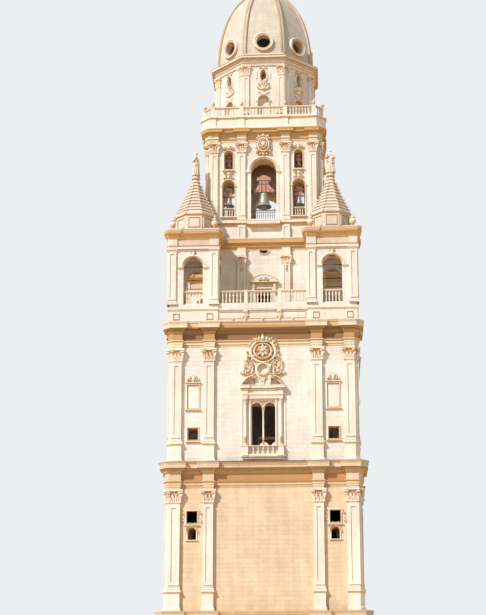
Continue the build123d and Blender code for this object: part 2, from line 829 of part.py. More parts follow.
def belfry_entablature():
    """The entablature that crowns the bell chamber."""
    lip = belfry_cornice_projection
    spans = [(core_pilaster_centre - core_pilaster_width / 2, core_pilaster_centre + core_pilaster_width / 2)]
    return entablature(core_half, core_pilaster_projection, spans, belfry_outer_centre - belfry_outer_width / 2,
                       belfry_top - belfry_entablature_height, belfry_entablature_height, lip, core_chamfer,
                       core_half - core_wall_thickness)


def iron_railing():
    """The iron railing across the foot of the great arch."""
    y = railing_setback - core_half
    half = central_arch_radius
    bar = railing_bar / 2
    pieces = [block(-half, half, y - bar, y + bar, belfry_level + z, belfry_level + z + railing_bar)
              for z in (0, railing_height - railing_bar)]
    count = round(2 * half / railing_spacing) - 1
    pitch = 2 * half / (count + 1)
    for index in range(count):
        x = -half + (index + 1) * pitch
        pieces.append(block(x - bar, x + bar, y - bar, y + bar,
                            belfry_level + railing_bar, belfry_level + railing_height - railing_bar))
    return fuse(pieces)


def side_balustrades():
    """Short stone balustrades in the lower side openings of the bell chamber."""
    y = -core_half + rail_width / 2 + side_rail_setback
    row = fuse(baluster_row(side_bay_centre - lower_arch_radius, side_bay_centre + lower_arch_radius,
                            belfry_level + lower_arch_sill, side_balustrade_height, y))
    return on_four_sides(row) + on_four_sides(mirror(row, Plane.YZ))


def roof_deck():
    """The attic wall above the belfry and the deck that closes the bell chamber."""
    inner = attic_half - attic_wall_thickness
    plan = cut_square(attic_half, attic_chamfer)
    ring = raise_plan(plan - Rectangle(2 * inner, 2 * inner), belfry_top, attic_top)
    deck = raise_plan(plan, attic_top - roof_deck_thickness, attic_top)
    return ring + deck


def top_balustrade():
    """The balustrade round the foot of the drum, with finials, and short rows across the cut corners."""
    inset = rail_width / 2 + rail_setback
    y = inset - attic_half
    half = top_pedestal_width / 2
    near = top_inner_pedestal
    far = attic_half - attic_chamfer - half
    top = attic_top + top_balustrade_height
    pieces = []
    for x0, x1 in ((half - far, -near - half), (half - near, near - half), (near + half, far - half)):
        pieces += baluster_row(x0, x1, attic_top, top_balustrade_height, y)
    for x in (-far, -near, near, far):
        pieces.append(block(x - half, x + half, y - half, y + half, attic_top, top))
    knob = turned([(0, 0.7 * finial_radius), (0.3 * finial_height, finial_radius * 0.4),
                   (0.6 * finial_height, finial_radius), (finial_height, 0.3 * finial_radius)], 6)
    for x in (-far, far):
        pieces.append(Pos(x, y, top) * knob)
    side = fuse(pieces)
    corner_y = inset - (2 * attic_half - attic_chamfer) / math.sqrt(2)
    row = fuse(baluster_row(-top_corner_row_half, top_corner_row_half, attic_top,
                            top_balustrade_height, corner_y))
    row = Rot(0, 0, octagon_step) * row
    row = row - side - Rot(0, 0, 90) * side
    return Compound(on_four_sides(side) + on_four_sides(row))


def on_eight_sides(shape):
    """A piece of the octagon's front side and its seven copies."""
    return [Rot(0, 0, octagon_step * turn) * shape for turn in range(8)]


def drum_walls():
    """The octagonal drum, with an oval window and a shallow round-headed niche on each side."""
    top = drum_top - drum_entablature_height
    inner = drum_apothem - drum_wall_thickness
    walls = raise_plan(octagon(drum_apothem) - octagon(inner), attic_top, top)
    oval = front_prism(Pos(0, attic_top + oval_window_centre)
                       * Ellipse(oval_window_width / 2, oval_window_height / 2), -drum_apothem - 1, -inner + 1)
    niche = front_prism(round_head(drum_niche_width, attic_top, attic_top + drum_niche_height - drum_niche_width / 2),
                        -drum_apothem - 1, -drum_apothem + drum_niche_depth)
    return walls.cut(*on_eight_sides(oval), *on_eight_sides(niche))


def drum_pilasters():
    """Folded pilasters on the eight corners of the drum, with flared capitals."""
    top = drum_top - drum_entablature_height
    capital = top - drum_capital_height
    half_side = drum_apothem * math.tan(math.radians(22.5))
    solids = []
    middle = (capital + top) / 2
    for z0, z1, extra in ((attic_top, capital, 0), (capital, middle, drum_capital_flare / 2),
                          (middle, top, drum_capital_flare)):
        reach = drum_pilaster_projection + extra
        plan = octagon(drum_apothem + reach) - octagon(drum_apothem)
        gap = half_side - drum_pilaster_width - extra
        for turn in range(4):
            plan -= Rot(0, 0, octagon_step * turn) * Rectangle(2 * gap, 4 * drum_apothem)
        solids.append(raise_plan(plan, z0, z1))
    return fuse(solids)


def drum_entablature():
    """The entablature and cornice of the drum, with the kerb that the dome springs from."""
    inner = drum_apothem - drum_wall_thickness
    base = drum_top - drum_entablature_height
    pieces = []
    for start, end, share in ((0.0, 0.3, 0.25), (0.3, 0.6, 0.35), (0.6, 0.75, 0.7), (0.75, 1.0, 1.0)):
        plan = octagon(drum_apothem + share * drum_cornice_projection) - octagon(inner)
        pieces.append(raise_plan(plan, base + start * drum_entablature_height,
                                 base + end * drum_entablature_height))
    kerb = octagon(dome_apothem + dome_kerb_reach) - octagon(inner)
    pieces.append(raise_plan(kerb, drum_top, dome_level))
    return fuse(pieces)


def dome_curve(half, rise, top_half):
    """The upright section of the dome: two quarters of an ellipse, cut off where the lantern stands."""
    end_angle = math.acos(top_half / half)
    right = EllipticalCenterArc((0, 0), half, rise / math.sin(end_angle), 0,
                                arc_size=math.degrees(end_angle))
    left = mirror(right, Plane.YZ)
    base = Line((-half, 0), (half, 0))
    crown = Line((-top_half, rise), (top_half, rise))
    return make_face(right + left + base + crown)


def eight_sided_vault(half, rise, top_half, level):
    """A cloister vault: one arched section carried through four ways, and what they all share."""
    section = dome_curve(half, rise, top_half)
    arm = Pos(0, 0, level) * front_prism(section, -2 * half, 2 * half)
    vault = arm
    for turn in range(1, 4):
        vault = vault & (Rot(0, 0, octagon_step * turn) * arm)
    return vault


def dome_shell():
    """The hollow dome: eight lower gores with round ringed openings, and the vault that stands on them."""
    outer = eight_sided_vault(dome_apothem, dome_rise, dome_top_apothem, dome_level)
    inner = eight_sided_vault(dome_apothem - dome_thickness, dome_rise - dome_thickness,
                              dome_top_apothem - dome_thickness, dome_level - 1)
    height = dome_level + dome_oculus_height
    ring = front_prism(Pos(0, height) * Circle(dome_oculus_radius + dome_oculus_ring),
                       -dome_apothem - dome_oculus_projection, -dome_apothem + dome_thickness)
    hole = front_prism(Pos(0, height) * Circle(dome_oculus_radius),
                       -dome_apothem - dome_oculus_projection - 1, -dome_apothem + 3 * dome_thickness)
    far = 2 * dome_apothem
    joint = dome_level + dome_joint_height
    spread = far * math.tan(math.radians(octagon_step / 2))
    wedge = raise_plan(make_face(Polyline((0, 0), (-spread, -far), (spread, -far), close=True)),
                       dome_level - 1, joint)
    gore = ((outer & wedge) + ring - inner).cut(hole)
    vault = (outer - inner) & block(-far, far, -far, far, joint, dome_top + 1)
    return Compound(on_eight_sides(gore) + [vault]), outer


def dome_ribs(outer):
    """Ribs that follow the eight corners of the dome from the kerb to the lantern."""
    stretch = 1 / math.cos(math.radians(22.5))
    section = dome_curve((dome_apothem + dome_rib_projection) * stretch, dome_rise,
                         (dome_top_apothem + dome_rib_projection) * stretch)
    slab = front_prism(section, -dome_rib_width / 2, dome_rib_width / 2)
    slab = Pos(0, 0, dome_level) * Rot(0, 0, octagon_step / 2) * slab
    slabs = [Rot(0, 0, octagon_step * turn) * slab for turn in range(4)]
    return fuse(slabs) - outer


def lantern():
    """The open lantern: base, eight piers with narrow round-headed openings, and cornice."""
    level = dome_top
    top = level + lantern_base_height + lantern_height
    base = raise_plan(octagon(dome_top_apothem), level, level + lantern_base_height)
    inner = lantern_apothem - lantern_wall_thickness
    walls = raise_plan(octagon(lantern_apothem) - octagon(inner), level + lantern_base_height, top)
    sill = level + lantern_base_height + lantern_opening_sill
    opening = front_prism(round_head(lantern_opening_width, sill, sill + lantern_opening_height
                                     - lantern_opening_width / 2), -lantern_apothem - 1, -inner + 1)
    walls = walls.cut(*on_eight_sides(opening))
    reach = lantern_apothem + lantern_cornice_projection
    cornice = raise_plan(octagon(lantern_apothem + lantern_cornice_projection / 2), top,
                         top + lantern_cornice_height / 2)
    cornice += raise_plan(octagon(reach), top + lantern_cornice_height / 2, top + lantern_cornice_height)
    return fuse([base, walls, cornice])


def cupola():
    """The small bulbous roof of the lantern, and the ball and cross above it."""
    level = dome_top + lantern_base_height + lantern_height + lantern_cornice_height
    r = lantern_apothem
    h = cupola_height
    roof = Pos(0, 0, level) * Rot(0, 0, 22.5) * turned([(0, r), (0.25 * h, 0.96 * r), (0.5 * h, 0.78 * r),
                                                       (0.72 * h, 0.5 * r), (0.88 * h, 0.24 * r), (h, 0.16 * r)])
    ball_z = level + h
    b = ball_radius
    ball = turned([(ball_z, 0.35 * b), (ball_z + 0.3 * b, 0.8 * b), (ball_z + b, b),
                   (ball_z + 1.7 * b, 0.7 * b), (ball_z + 2 * b, 0.3 * b)])
    foot = ball_z + 2 * b
    bar = cross_bar / 2
    upright = block(-bar, bar, -bar, bar, foot, foot + cross_height)
    arm_z = foot + 0.62 * cross_height
    arms = block(-cross_width / 2, cross_width / 2, -bar, bar, arm_z - bar, arm_z + bar)
    return roof, fuse([ball, upright, arms])


def bell(scale):
    """A bronze bell with its canons block and clapper, hung with its crown just below the axle."""
    r = bell_mouth_radius * scale
    h = bell_height * scale
    wall = bell_wall * scale
    drop = -bell_drop * scale
    outer = [(0.0, 0), (0.42 * r, 0), (0.52 * r, -0.08 * h), (0.56 * r, -0.3 * h), (0.66 * r, -0.62 * h),
             (0.84 * r, -0.86 * h), (r, -h)]
    inner = [(r - 1.2 * wall, -h), (0.84 * r - 1.5 * wall, -0.84 * h), (0.66 * r - wall, -0.6 * h),
             (0.56 * r - wall, -0.3 * h), (0.5 * r - wall, -0.14 * h), (0.0, -0.1 * h)]
    profile = make_face(Polyline(*outer, *inner, close=True))
    shell = revolve(Plane.XZ * profile, Axis.Z)
    stem = Pos(0, 0, -0.45 * h) * Cylinder(clapper_radius * scale * 0.35, 0.78 * h)
    ball = Pos(0, 0, -0.84 * h) * Sphere(clapper_radius * scale)
    canons = block(-0.24 * r, 0.24 * r, -0.16 * r, 0.16 * r, 0, -drop - yoke_arm_half_height * scale)
    return Pos(0, 0, drop) * fuse([shell, stem, ball, canons])


def yoke(scale, arm_half, pin_end):
    """A waisted yoke with a lobed head above the axle, wide arms, and a pin at each end."""
    arm = yoke_arm_half_height * scale
    neck = yoke_neck_half * scale
    head = yoke_head_half * scale
    top = yoke_head_height * scale
    arm_top = 1.1 * arm
    right = (Line((0, -arm), (arm_half, -arm)) + Line((arm_half, -arm), (arm_half, arm_top))
             + ThreePointArc((arm_half, arm_top), (0.5 * (arm_half + neck), 0.22 * top), (neck, 0.42 * top))
             + Line((neck, 0.42 * top), (0.92 * neck, 0.6 * top))
             + ThreePointArc((0.92 * neck, 0.6 * top), (head, 0.74 * top), (0.9 * head, 0.86 * top))
             + ThreePointArc((0.9 * head, 0.86 * top), (0.5 * head, 0.92 * top), (0.34 * head, top))
             + Line((0.34 * head, top), (0, top)))
    face = make_face(right + mirror(right, Plane.YZ))
    half = yoke_thickness * scale / 2
    body = front_prism(face, -half, half)
    pin = Rot(0, 90, 0) * Cylinder(pin_radius * scale, 2 * pin_end)
    return body + pin


def bearings(scale, jamb_half):
    """Two bearing blocks on the jambs, bored for the pins."""
    size = bearing_size * scale
    block_inner = jamb_half - size * 0.6
    bore = Rot(0, 90, 0) * Cylinder(pin_radius * scale + pin_clearance, 4 * jamb_half)
    both = [block(block_inner, jamb_half, -size / 2, size / 2, -size / 2, size / 2),
            block(-jamb_half, -block_inner, -size / 2, size / 2, -size / 2, size / 2)]
    return [piece - bore for piece in both]


def hung_bell(scale, jamb_half):
    """The bell, its yoke and its bearings, drawn about the axle."""
    block_inner = jamb_half - bearing_size * scale * 0.6
    pin_end = jamb_half - 2 * scale
    return bell(scale), yoke(scale, block_inner - bearing_gap * scale, pin_end), bearings(scale, jamb_half)


def bells():
    """The five bells of the front face, each hung in its own opening."""
    y = -core_half + core_wall_thickness / 2
    places = (("great", great_bell_scale, central_arch_radius, 0, great_axle_height),
              ("left", side_bell_scale, lower_arch_radius, -side_bay_centre, side_axle_height),
              ("right", side_bell_scale, lower_arch_radius, side_bay_centre, side_axle_height),
              ("upper_left", small_bell_scale, upper_window_width / 2, -side_bay_centre, small_axle_height),
              ("upper_right", small_bell_scale, upper_window_width / 2, side_bay_centre, small_axle_height))
    found = {}
    blocks = []
    for name, scale, jamb_half, x, axle in places:
        place = Pos(x, y, belfry_level + axle)
        bronze, wood, pair = hung_bell(scale, jamb_half)
        found[name + "_bell"] = place * bronze
        found[name + "_yoke"] = place * wood
        blocks += [place * piece for piece in pair]
    found["bell_bearings"] = Compound(blocks)
    return found


def build():
    """Every piece of the tower by name."""
    nodes = lower_walls()
    nodes["lower_window_frames"] = lower_frames()
    nodes["door_leaves"] = door_leaves()
    storeys = (("stage1", stage_1_half, 0, stage_2_level), ("stage2", stage_2_half, stage_2_level, stage_3_level),
               ("stage3", stage_3_half, stage_3_level, terrace_level))
    for name, half, level, top in storeys:
        nodes[name + "_pilasters"] = pilasters(half, level, top - entablature_height)
        nodes[name + "_entablature"] = lower_entablature(half, top)
    front = stage_3_wall()
    nodes["stage3_front_wall"] = front
    nodes["stage3_back_wall"] = Rot(0, 0, 180) * front
    right = side_wall(front, stage_3_half, stage_wall_thickness)
    nodes["stage3_right_wall"] = right
    nodes["stage3_left_wall"] = Rot(0, 0, 180) * right
    nodes["two_light_windows"] = Compound(on_four_sides(two_light_tracery()))
    surround = [piece - nodes["stage3_entablature"] for piece in window_surround()]
    nodes["window_surrounds"] = Compound([copy for piece in surround for copy in on_four_sides(piece)])
    nodes["stage3_window_frames"] = stage_3_frames()
    nodes["terrace"] = terrace()
    nodes["terrace_balustrades"] = terrace_balustrades()
    envelope = core_envelope()
    corners = ("front_right", "back_right", "back_left", "front_left")
    tower = pavilion(envelope)
    for turn, corner in enumerate(corners):
        nodes[corner + "_pavilion"] = Rot(0, 0, 90 * turn) * tower
    nodes["pavilion_roofs"] = Compound(on_four_sides(pavilion_roof(envelope)))
    nodes["pavilion_balustrades"] = pavilion_balustrades()
    nodes["urns"], nodes["statues"] = corner_ornaments(envelope)
    nodes["core_walls"] = core_walls()
    nodes["belfry_floor"] = belfry_floor()
    front = belfry_wall()
    nodes["belfry_front_wall"] = Compound(front)
    nodes["belfry_back_wall"] = Compound([Rot(0, 0, 180) * piece for piece in front])
    right = [side_wall(piece, core_half, core_wall_thickness) for piece in front]
    nodes["belfry_right_wall"] = Compound(right)
    nodes["belfry_left_wall"] = Compound([Rot(0, 0, 180) * piece for piece in right])
    nodes["belfry_pilasters"] = belfry_order()
    nodes["belfry_entablature"] = belfry_entablature()
    nodes["belfry_railings"] = Compound(on_four_sides(iron_railing()))
    nodes["belfry_balustrades"] = Compound(side_balustrades())
    nodes.update(bells())
    nodes["roof_deck"] = roof_deck()
    nodes["top_balustrade"] = top_balustrade()
    nodes["drum_walls"] = drum_walls()
    nodes["drum_pilasters"] = drum_pilasters()
    nodes["drum_entablature"] = drum_entablature()
    nodes["dome"], outer = dome_shell()
    nodes["dome_ribs"] = dome_ribs(outer)
    nodes["lantern"] = lantern()
    nodes["lantern_cupola"], nodes["finial"] = cupola()
    return nodes


os.makedirs("parts", exist_ok=True)
for node_name, node_shape in build().items():
    export_step(node_shape, "parts/" + node_name + ".step")
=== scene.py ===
import json
import math

import bpy
import numpy as np
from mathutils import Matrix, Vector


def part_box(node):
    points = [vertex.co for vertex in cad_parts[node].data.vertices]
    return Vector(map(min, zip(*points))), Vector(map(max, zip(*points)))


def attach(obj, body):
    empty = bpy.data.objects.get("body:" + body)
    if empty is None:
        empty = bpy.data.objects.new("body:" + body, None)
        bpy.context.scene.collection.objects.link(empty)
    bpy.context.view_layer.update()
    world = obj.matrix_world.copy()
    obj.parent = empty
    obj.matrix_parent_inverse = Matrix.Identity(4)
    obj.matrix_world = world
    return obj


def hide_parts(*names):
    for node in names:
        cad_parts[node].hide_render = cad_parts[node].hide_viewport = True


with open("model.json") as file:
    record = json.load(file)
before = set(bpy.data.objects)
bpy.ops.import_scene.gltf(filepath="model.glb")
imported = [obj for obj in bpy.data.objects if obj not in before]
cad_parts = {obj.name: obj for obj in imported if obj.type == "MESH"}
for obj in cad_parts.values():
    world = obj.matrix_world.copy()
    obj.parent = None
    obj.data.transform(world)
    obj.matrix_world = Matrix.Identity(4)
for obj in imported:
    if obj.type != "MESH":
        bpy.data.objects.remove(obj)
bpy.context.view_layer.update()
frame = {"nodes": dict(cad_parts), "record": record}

bl_info = {
    "name": "Bell tower dressing",
    "version": (1, 0, 0),
    "blender": (4, 5, 0),
    "location": "View3D > Sidebar > Bell tower",
    "description": "Mouldings, carving, balusters, bells and stone finishes for a model bell tower",
    "category": "Object",
}

# Places in metres, some read from the frame and the others given


def low(node):
    """The lowest corner of a node."""
    return np.array(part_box(node)[0])


def high(node):
    """The highest corner of a node."""
    return np.array(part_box(node)[1])


BODY = "tower"
STAGE_HALF = {"stage1": 0.95, "stage2": 0.93, "stage3": 0.915}
PILASTER_PROJECTION = 0.035
PILASTER_CENTRE = 0.537
PILASTER_HALF = 0.049
CORNER_START = 0.812
CHAMFER = 0.04
# How much wider an entablature's steps are than the pilasters under them
LOWER_MARGIN = 0.003
UPPER_MARGIN = 0.004
RING_WIDTH = 0.2
PEDESTAL_HEIGHT = 0.2
BASE_HEIGHT = 0.04
CAPITAL_HEIGHT = 0.13
BAY_CENTRE = 0.695
TERRACE_TOP = high("terrace")[2]
BELFRY_FLOOR = high("belfry_floor")[2]
CORE_HALF = 0.595
CORE_CHAMFER = 0.05
CORE_PILASTER_CENTRE = 0.232
CORE_PILASTER_HALF = 0.04
CORE_PROJECTION = 0.025
OUTER_PILASTER_CENTRE = 0.521
OUTER_PILASTER_HALF = 0.036
SIDE_BAY = 0.37
PAVILION_CENTRE = 0.705
PAVILION_HALF = 0.245
DRUM_APOTHEM = 0.525
DRUM_FOOT = low("drum_walls")[2]
DRUM_TOP = high("drum_walls")[2]
DOME_FOOT = low("dome")[2]
DOME_TOP = high("dome")[2]
EIGHTH = math.pi / 4
DOME_HALF = 0.505
DOME_TOP_HALF = 0.195
LOWER_ENTABLATURE = 0.27
THIRD_FLOOR = 3.01
# Each lower storey with the heights of its floor and its top
LOWER_STOREYS = (("stage1", 0.0, 1.56), ("stage2", 1.56, THIRD_FLOOR), ("stage3", THIRD_FLOOR, 4.44))
# How far a bead stands over its panel, and how far a piece runs into the wall behind it
SKIN = 0.0015
GRIP = 0.004
# Added to a hollow's depth, this asks for gold: painted warm shade along a cornice band
GOLD_SHADE = -40.0
# The bells' axles lie this far behind the wall's face
AXLE_DEPTH = 0.0775
# The camera that sees what the photo shows: place, tilt and turn in degrees, lens in mm, upward shift
CAMERA_PLACE = (0.58, -15.0, 0.16)
CAMERA_TILT = 15.08
CAMERA_TURN = 3.17
CAMERA_LENS = 85.78
CAMERA_SHIFT = 0.1


# Settings


def length(name, description, default):
    """A setting that is a length, in metres."""
    return bpy.props.FloatProperty(name=name, description=description, default=default, min=0.0001,
                                   precision=4, subtype="DISTANCE", unit="LENGTH")


def colour(name, description, default):
    """A setting that is a colour."""
    return bpy.props.FloatVectorProperty(name=name, description=description, default=default, min=0.0,
                                         max=1.0, size=3, subtype="COLOR")


class BellTowerSizes(bpy.types.PropertyGroup):
    """Sizes of the pieces that stand on the frame"""
    lower_cornice_reach: length("Lower cornice reach", "How far the lower storeys' cornices stand out", 0.063)
    upper_cornice_reach: length("Upper cornice reach", "How far the upper cornices stand out", 0.05)
    dentil_pitch: length("Dentil pitch", "Distance between the dentils of the lower storeys", 0.02)
    capital_flare: length("Capital flare", "How far the lower storeys' capitals spread", 0.028)
    panel_depth: length("Panel depth", "How deep the panels in the pilasters are sunk", 0.007)
    baluster_width: length("Baluster width", "Width of a stone baluster", 0.02)
    baluster_spacing: length("Baluster spacing", "Distance between the stone balusters", 0.034)
    grille_bar: length("Grille bar", "Thickness of the bars in the small windows", 0.005)
    railing_bars: bpy.props.IntProperty(name="Railing bars",
                                        description="Bars in each iron railing of the belfry",
                                        default=11, min=3, max=30)
    spire_courses: bpy.props.IntProperty(name="Spire courses", description="Stepped courses in each spire",
                                         default=11, min=3, max=30)
    spire_rise: length("Spire rise", "Height of the stepped part of a spire", 0.44)
    spire_foot: length("Spire foot", "Half width of a spire's lowest course", 0.196)
    spire_tip: length("Spire tip", "Half width of a spire's highest course", 0.026)
    statue_height: length("Statue height", "Height of the figures on the spires", 0.276)
    stone_length: length("Stone length", "Length of the squared stones in the walls", 0.098)
    course_height: length("Course height", "Height of the squared stones in the walls", 0.045)
    joint_width: length("Joint width", "Width of the mortar joints", 0.0009)
    stone_relief: length("Stone relief", "Depth of the stone's own roughness", 0.0009)


class BellTowerColours(bpy.types.PropertyGroup):
    """Colours of the finishes, of the weather's marks on them and of the painted shade"""
    wall: colour("Wall", "Squared stone of the upper walls", (0.84, 0.765, 0.68))
    lower_wall: colour("Lower wall", "Squared stone of the two lowest storeys", (0.78, 0.59, 0.41))
    trim: colour("Carving", "Carved stone", (0.85, 0.76, 0.645))
    cornice: colour("Cornice", "Stone of the upper cornices", (0.84, 0.7, 0.52))
    lower_cornice: colour("Lower cornice", "Stone of the two lowest cornices", (0.72, 0.54, 0.37))
    roof: colour("Spires", "Stone of the spires and the cupola", (0.72, 0.63, 0.53))
    dome: colour("Dome", "Squared stone of the dome", (0.64, 0.57, 0.49))
    mortar: colour("Mortar", "Tint of the joints between stones", (0.87, 0.82, 0.76))
    # The gold is painted warm shade: the bounced light under ledges and cornices
    warm_shade_gold: colour("Warm shade gold", "Painted warm shade on and under ledges", (0.6, 0.3, 0.06))
    # The brown is painted shade, darkening creases and recesses
    hollow_shade_brown: colour("Hollow shade brown", "Painted shade in hollows", (0.46, 0.23, 0.085))
    # This dark brown is partly real soot and partly the painted shadow of a cornice on its frieze
    shadow_and_soot: colour("Soot and shadow", "Soot and painted shadow on the friezes", (0.27, 0.135, 0.06))
    dust: colour("Dust", "Grey dust on ledges", (0.47, 0.44, 0.4))
    lead: colour("Lead", "Lead sheet", (0.52, 0.55, 0.58))
    bronze: colour("Bells", "Bell bronze", (0.35, 0.31, 0.23))
    yoke: colour("Yokes", "Paint of the yokes", (0.5, 0.25, 0.18))
    iron: colour("Iron", "Forged iron", (0.07, 0.06, 0.055))
    door: colour("Door", "Oiled timber", (0.22, 0.13, 0.07))


class BellTowerLight(bpy.types.PropertyGroup):
    """Light and surroundings"""
    floor: colour("Floor", "Colour of the floor", (0.74, 0.75, 0.76))
    backdrop: colour("Backdrop", "Colour behind the tower", (0.84, 0.86, 0.88))
    fill: colour("Fill light", "Colour of the light from all round", (1.0, 0.84, 0.68))
    sun: colour("Sunlight", "Colour of the sun", (1.0, 0.98, 0.94))
    fill_strength: bpy.props.FloatProperty(name="Fill strength",
                                           description="Strength of the light from all round",
                                           default=0.3, min=0.0, max=2.0, subtype="FACTOR")
    sun_strength: bpy.props.FloatProperty(name="Sun strength", description="Strength of the sun", default=4.2,
                                          min=0.0, max=20.0)
    sun_tilt: bpy.props.FloatProperty(name="Sun tilt", description="Angle of the sun from overhead",
                                      default=math.radians(48), subtype="ANGLE", unit="ROTATION")
    sun_turn: bpy.props.FloatProperty(name="Sun turn",
                                      description="Turn of the sun from the front to the left",
                                      default=math.radians(42), subtype="ANGLE", unit="ROTATION")


def sizes():
    """The sizes as the user has set them."""
    return bpy.context.scene.bell_tower_sizes


def colours():
    """The colours as the user has set them."""
    return bpy.context.scene.bell_tower_colours


def solid(setting):
    """A colour setting with full opacity, as a node wants it."""
    return tuple(setting) + (1.0,)


# Shapes are three arrays: points, the corners of each face one after another, and corners per face.
# Lengths are in metres, but the carvings that relief makes and the profiles that at takes are in mm.


def spread(x, y, z):
    """Points from three coordinates, each of them a number or an array."""
    return np.stack(np.broadcast_arrays(x, y, z), -1)


def unit(rows):
    """Vectors scaled to a length of one."""
    return rows / np.linalg.norm(rows, axis=-1, keepdims=True)


def angles(count):
    """Angles spaced evenly round a full turn."""
    return np.arange(count) * 2 * math.pi / count


def surface(points, wrap_rows=False, wrap_columns=False, capped=False):
    """A grid of points, rows by columns by three, joined by four-sided faces; caps close both ends."""
    rows, columns = points.shape[:2]
    i, j = np.meshgrid(np.arange(rows - (not wrap_rows)), np.arange(columns - (not wrap_columns)),
                       indexing="ij")
    i2 = (i + 1) % rows
    j2 = (j + 1) % columns
    corners = np.stack([i * columns + j, i * columns + j2, i2 * columns + j2, i2 * columns + j], -1).ravel()
    counts = np.full(i.size, 4)
    if capped:
        end = np.arange(columns)
        corners = np.concatenate([corners, end[::-1], (rows - 1) * columns + end])
        counts = np.concatenate([counts, [columns, columns]])
    return points.reshape(-1, 3), corners, counts


def closed(points):
    """A grid of points whose columns meet round the shape, capped at both ends."""
    return surface(points, wrap_columns=True, capped=True)


def looped(points):
    """A grid of points that meets itself both ways, like a ring."""
    return surface(points, wrap_rows=True, wrap_columns=True)


def join(shapes):
    """Several shapes as one, with the corners of each counted on from those before."""
    shapes = list(shapes)
    starts = np.cumsum([0] + [len(shape[0]) for shape in shapes[:-1]])
    return (np.concatenate([shape[0] for shape in shapes]),
            np.concatenate([shape[1] + start for shape, start in zip(shapes, starts)]),
            np.concatenate([shape[2] for shape in shapes]))


def moved(shape, x=0.0, y=0.0, z=0.0, scale=1.0):
    """A shape scaled about the origin, then moved."""
    return shape[0] * scale + np.array([x, y, z]), shape[1], shape[2]


def turned(shape, angle):
    """A shape turned about the upright axis by an angle in radians."""
    c, s = math.cos(angle), math.sin(angle)
    return shape[0] @ np.array([[c, s, 0], [-s, c, 0], [0, 0, 1]]), shape[1], shape[2]


def laid(shape):
    """A shape turned about the upright axis, laid down with its top towards the viewer."""
    return shape[0][:, [0, 2, 1]] * [1, -1, 1], shape[1], shape[2]


def mirrored(shape):
    """A shape mirrored left to right; the corner order is turned round so that faces still point out."""
    points = shape[0] * np.array([-1.0, 1.0, 1.0])
    ends = np.cumsum(shape[2])
    index = np.arange(len(shape[1]))
    face = np.repeat(np.arange(len(shape[2])), shape[2])
    return points, shape[1][(ends - shape[2])[face] + ends[face] - 1 - index], shape[2]


def both(shape):
    """A shape of the right half and its twin on the left."""
    return join([shape, mirrored(shape)])


def around(shape, count=4):
    """Copies of a front shape turned evenly round the tower."""
    return join([turned(shape, 2 * math.pi * k / count) for k in range(count)])


def upright(shape, y):
    """A shape drawn flat, stood up against a front wall: its height above the sheet points to the viewer."""
    points = shape[0]
    return np.stack([points[:, 0], y - points[:, 2], points[:, 1]], -1), shape[1], shape[2]


def mitres(plan):
    """For each corner of a closed plan, the move that shifts both its sides out by one unit."""
    sides = unit(plan - np.roll(plan, 1, 0)), unit(np.roll(plan, -1, 0) - plan)
    n1, n2 = (np.stack([side[:, 1], -side[:, 0]], -1) for side in sides)
    return (n1 + n2) / (1 + (n1 * n2).sum(1))[:, None]


def edged(profile, near=0.004):
    """A profile with extra points near both ends of each long run, so that the painted shade of hollows stays
    in the corners.
    """
    profile = np.asarray(profile, float)
    rows = [profile[0]]
    for start, end in zip(profile[:-1], profile[1:]):
        length = np.linalg.norm(end - start)
        step = (end - start) * near / max(length, 1e-9)
        extra = 3 if length > 8 * near else 1 if length > 3 * near else 0
        rows += [start + k * step for k in range(1, extra + 1)]
        rows += [end - k * step for k in range(extra, 0, -1)] + [end]
    return np.array(rows)


def inner_corners(plan, near=0.004):
    """A closed plan with two extra points beside each corner that turns inwards, for the same reason."""
    plan = np.asarray(plan, float)
    rows = []
    for before, here, after in zip(np.roll(plan, 1, 0), plan, np.roll(plan, -1, 0)):
        back, ahead = unit(before - here), unit(after - here)
        inwards = back[0] * ahead[1] - back[1] * ahead[0] > 0.3
        rows += [here + near * back, here, here + near * ahead] if inwards else [here]
    return np.array(rows)


def swept(plan, profile):
    """A profile of (reach, height) pairs carried round a closed plan, mitred at each corner."""
    plan = inner_corners(plan)
    profile = edged(profile)
    flat = plan + profile[:, 0, None, None] * mitres(plan)
    return spread(flat[..., 0], flat[..., 1], profile[:, 1, None])


def moulding(plan, profile):
    """A closed band: a looped profile carried round a closed plan."""
    return looped(swept(plan, profile))


def stack(plan, profile):
    """A solid post: a profile carried round a plan and closed at top and bottom."""
    return closed(swept(plan, profile))


def ring(plan, profile, inner):
    """A moulded ring whose top and bottom run in to a plain square inner edge."""
    outer = swept(plan, profile)
    edge = outer.copy()
    edge[:, :, :2] = np.clip(edge[:, :, :2], -inner, inner)
    return looped(np.concatenate([edge[:1], outer, edge[-1:]]))


def open_moulding(path, profile):
    """A looped profile of (reach, height) pairs carried along an open flat path, with closed ends."""
    path = np.asarray(path, float)
    profile = np.asarray(profile, float)
    along = unit(np.gradient(path, axis=0))
    normal = np.stack([-along[:, 1], along[:, 0]], -1)
    flat = path[:, None] + profile[:, 0, None] * normal[:, None]
    return closed(spread(flat[..., 0], flat[..., 1], profile[:, 1]))


def boxes(centres, sides):
    """Plain blocks, all worked out together from their centres and side lengths."""
    centres = np.atleast_2d(np.asarray(centres, float))
    sides = np.broadcast_to(np.asarray(sides, float), centres.shape)
    cube = np.array([[-1, -1, -1], [1, -1, -1], [1, 1, -1], [-1, 1, -1],
                     [-1, -1, 1], [1, -1, 1], [1, 1, 1], [-1, 1, 1]]) * 0.5
    faces = np.array([[3, 2, 1, 0], [4, 5, 6, 7], [0, 1, 5, 4], [1, 2, 6, 5], [2, 3, 7, 6], [3, 0, 4, 7]])
    points = centres[:, None] + cube[None] * sides[:, None]
    corners = faces[None] + 8 * np.arange(len(centres))[:, None, None]
    return points.reshape(-1, 3), corners.ravel(), np.full(6 * len(centres), 4)


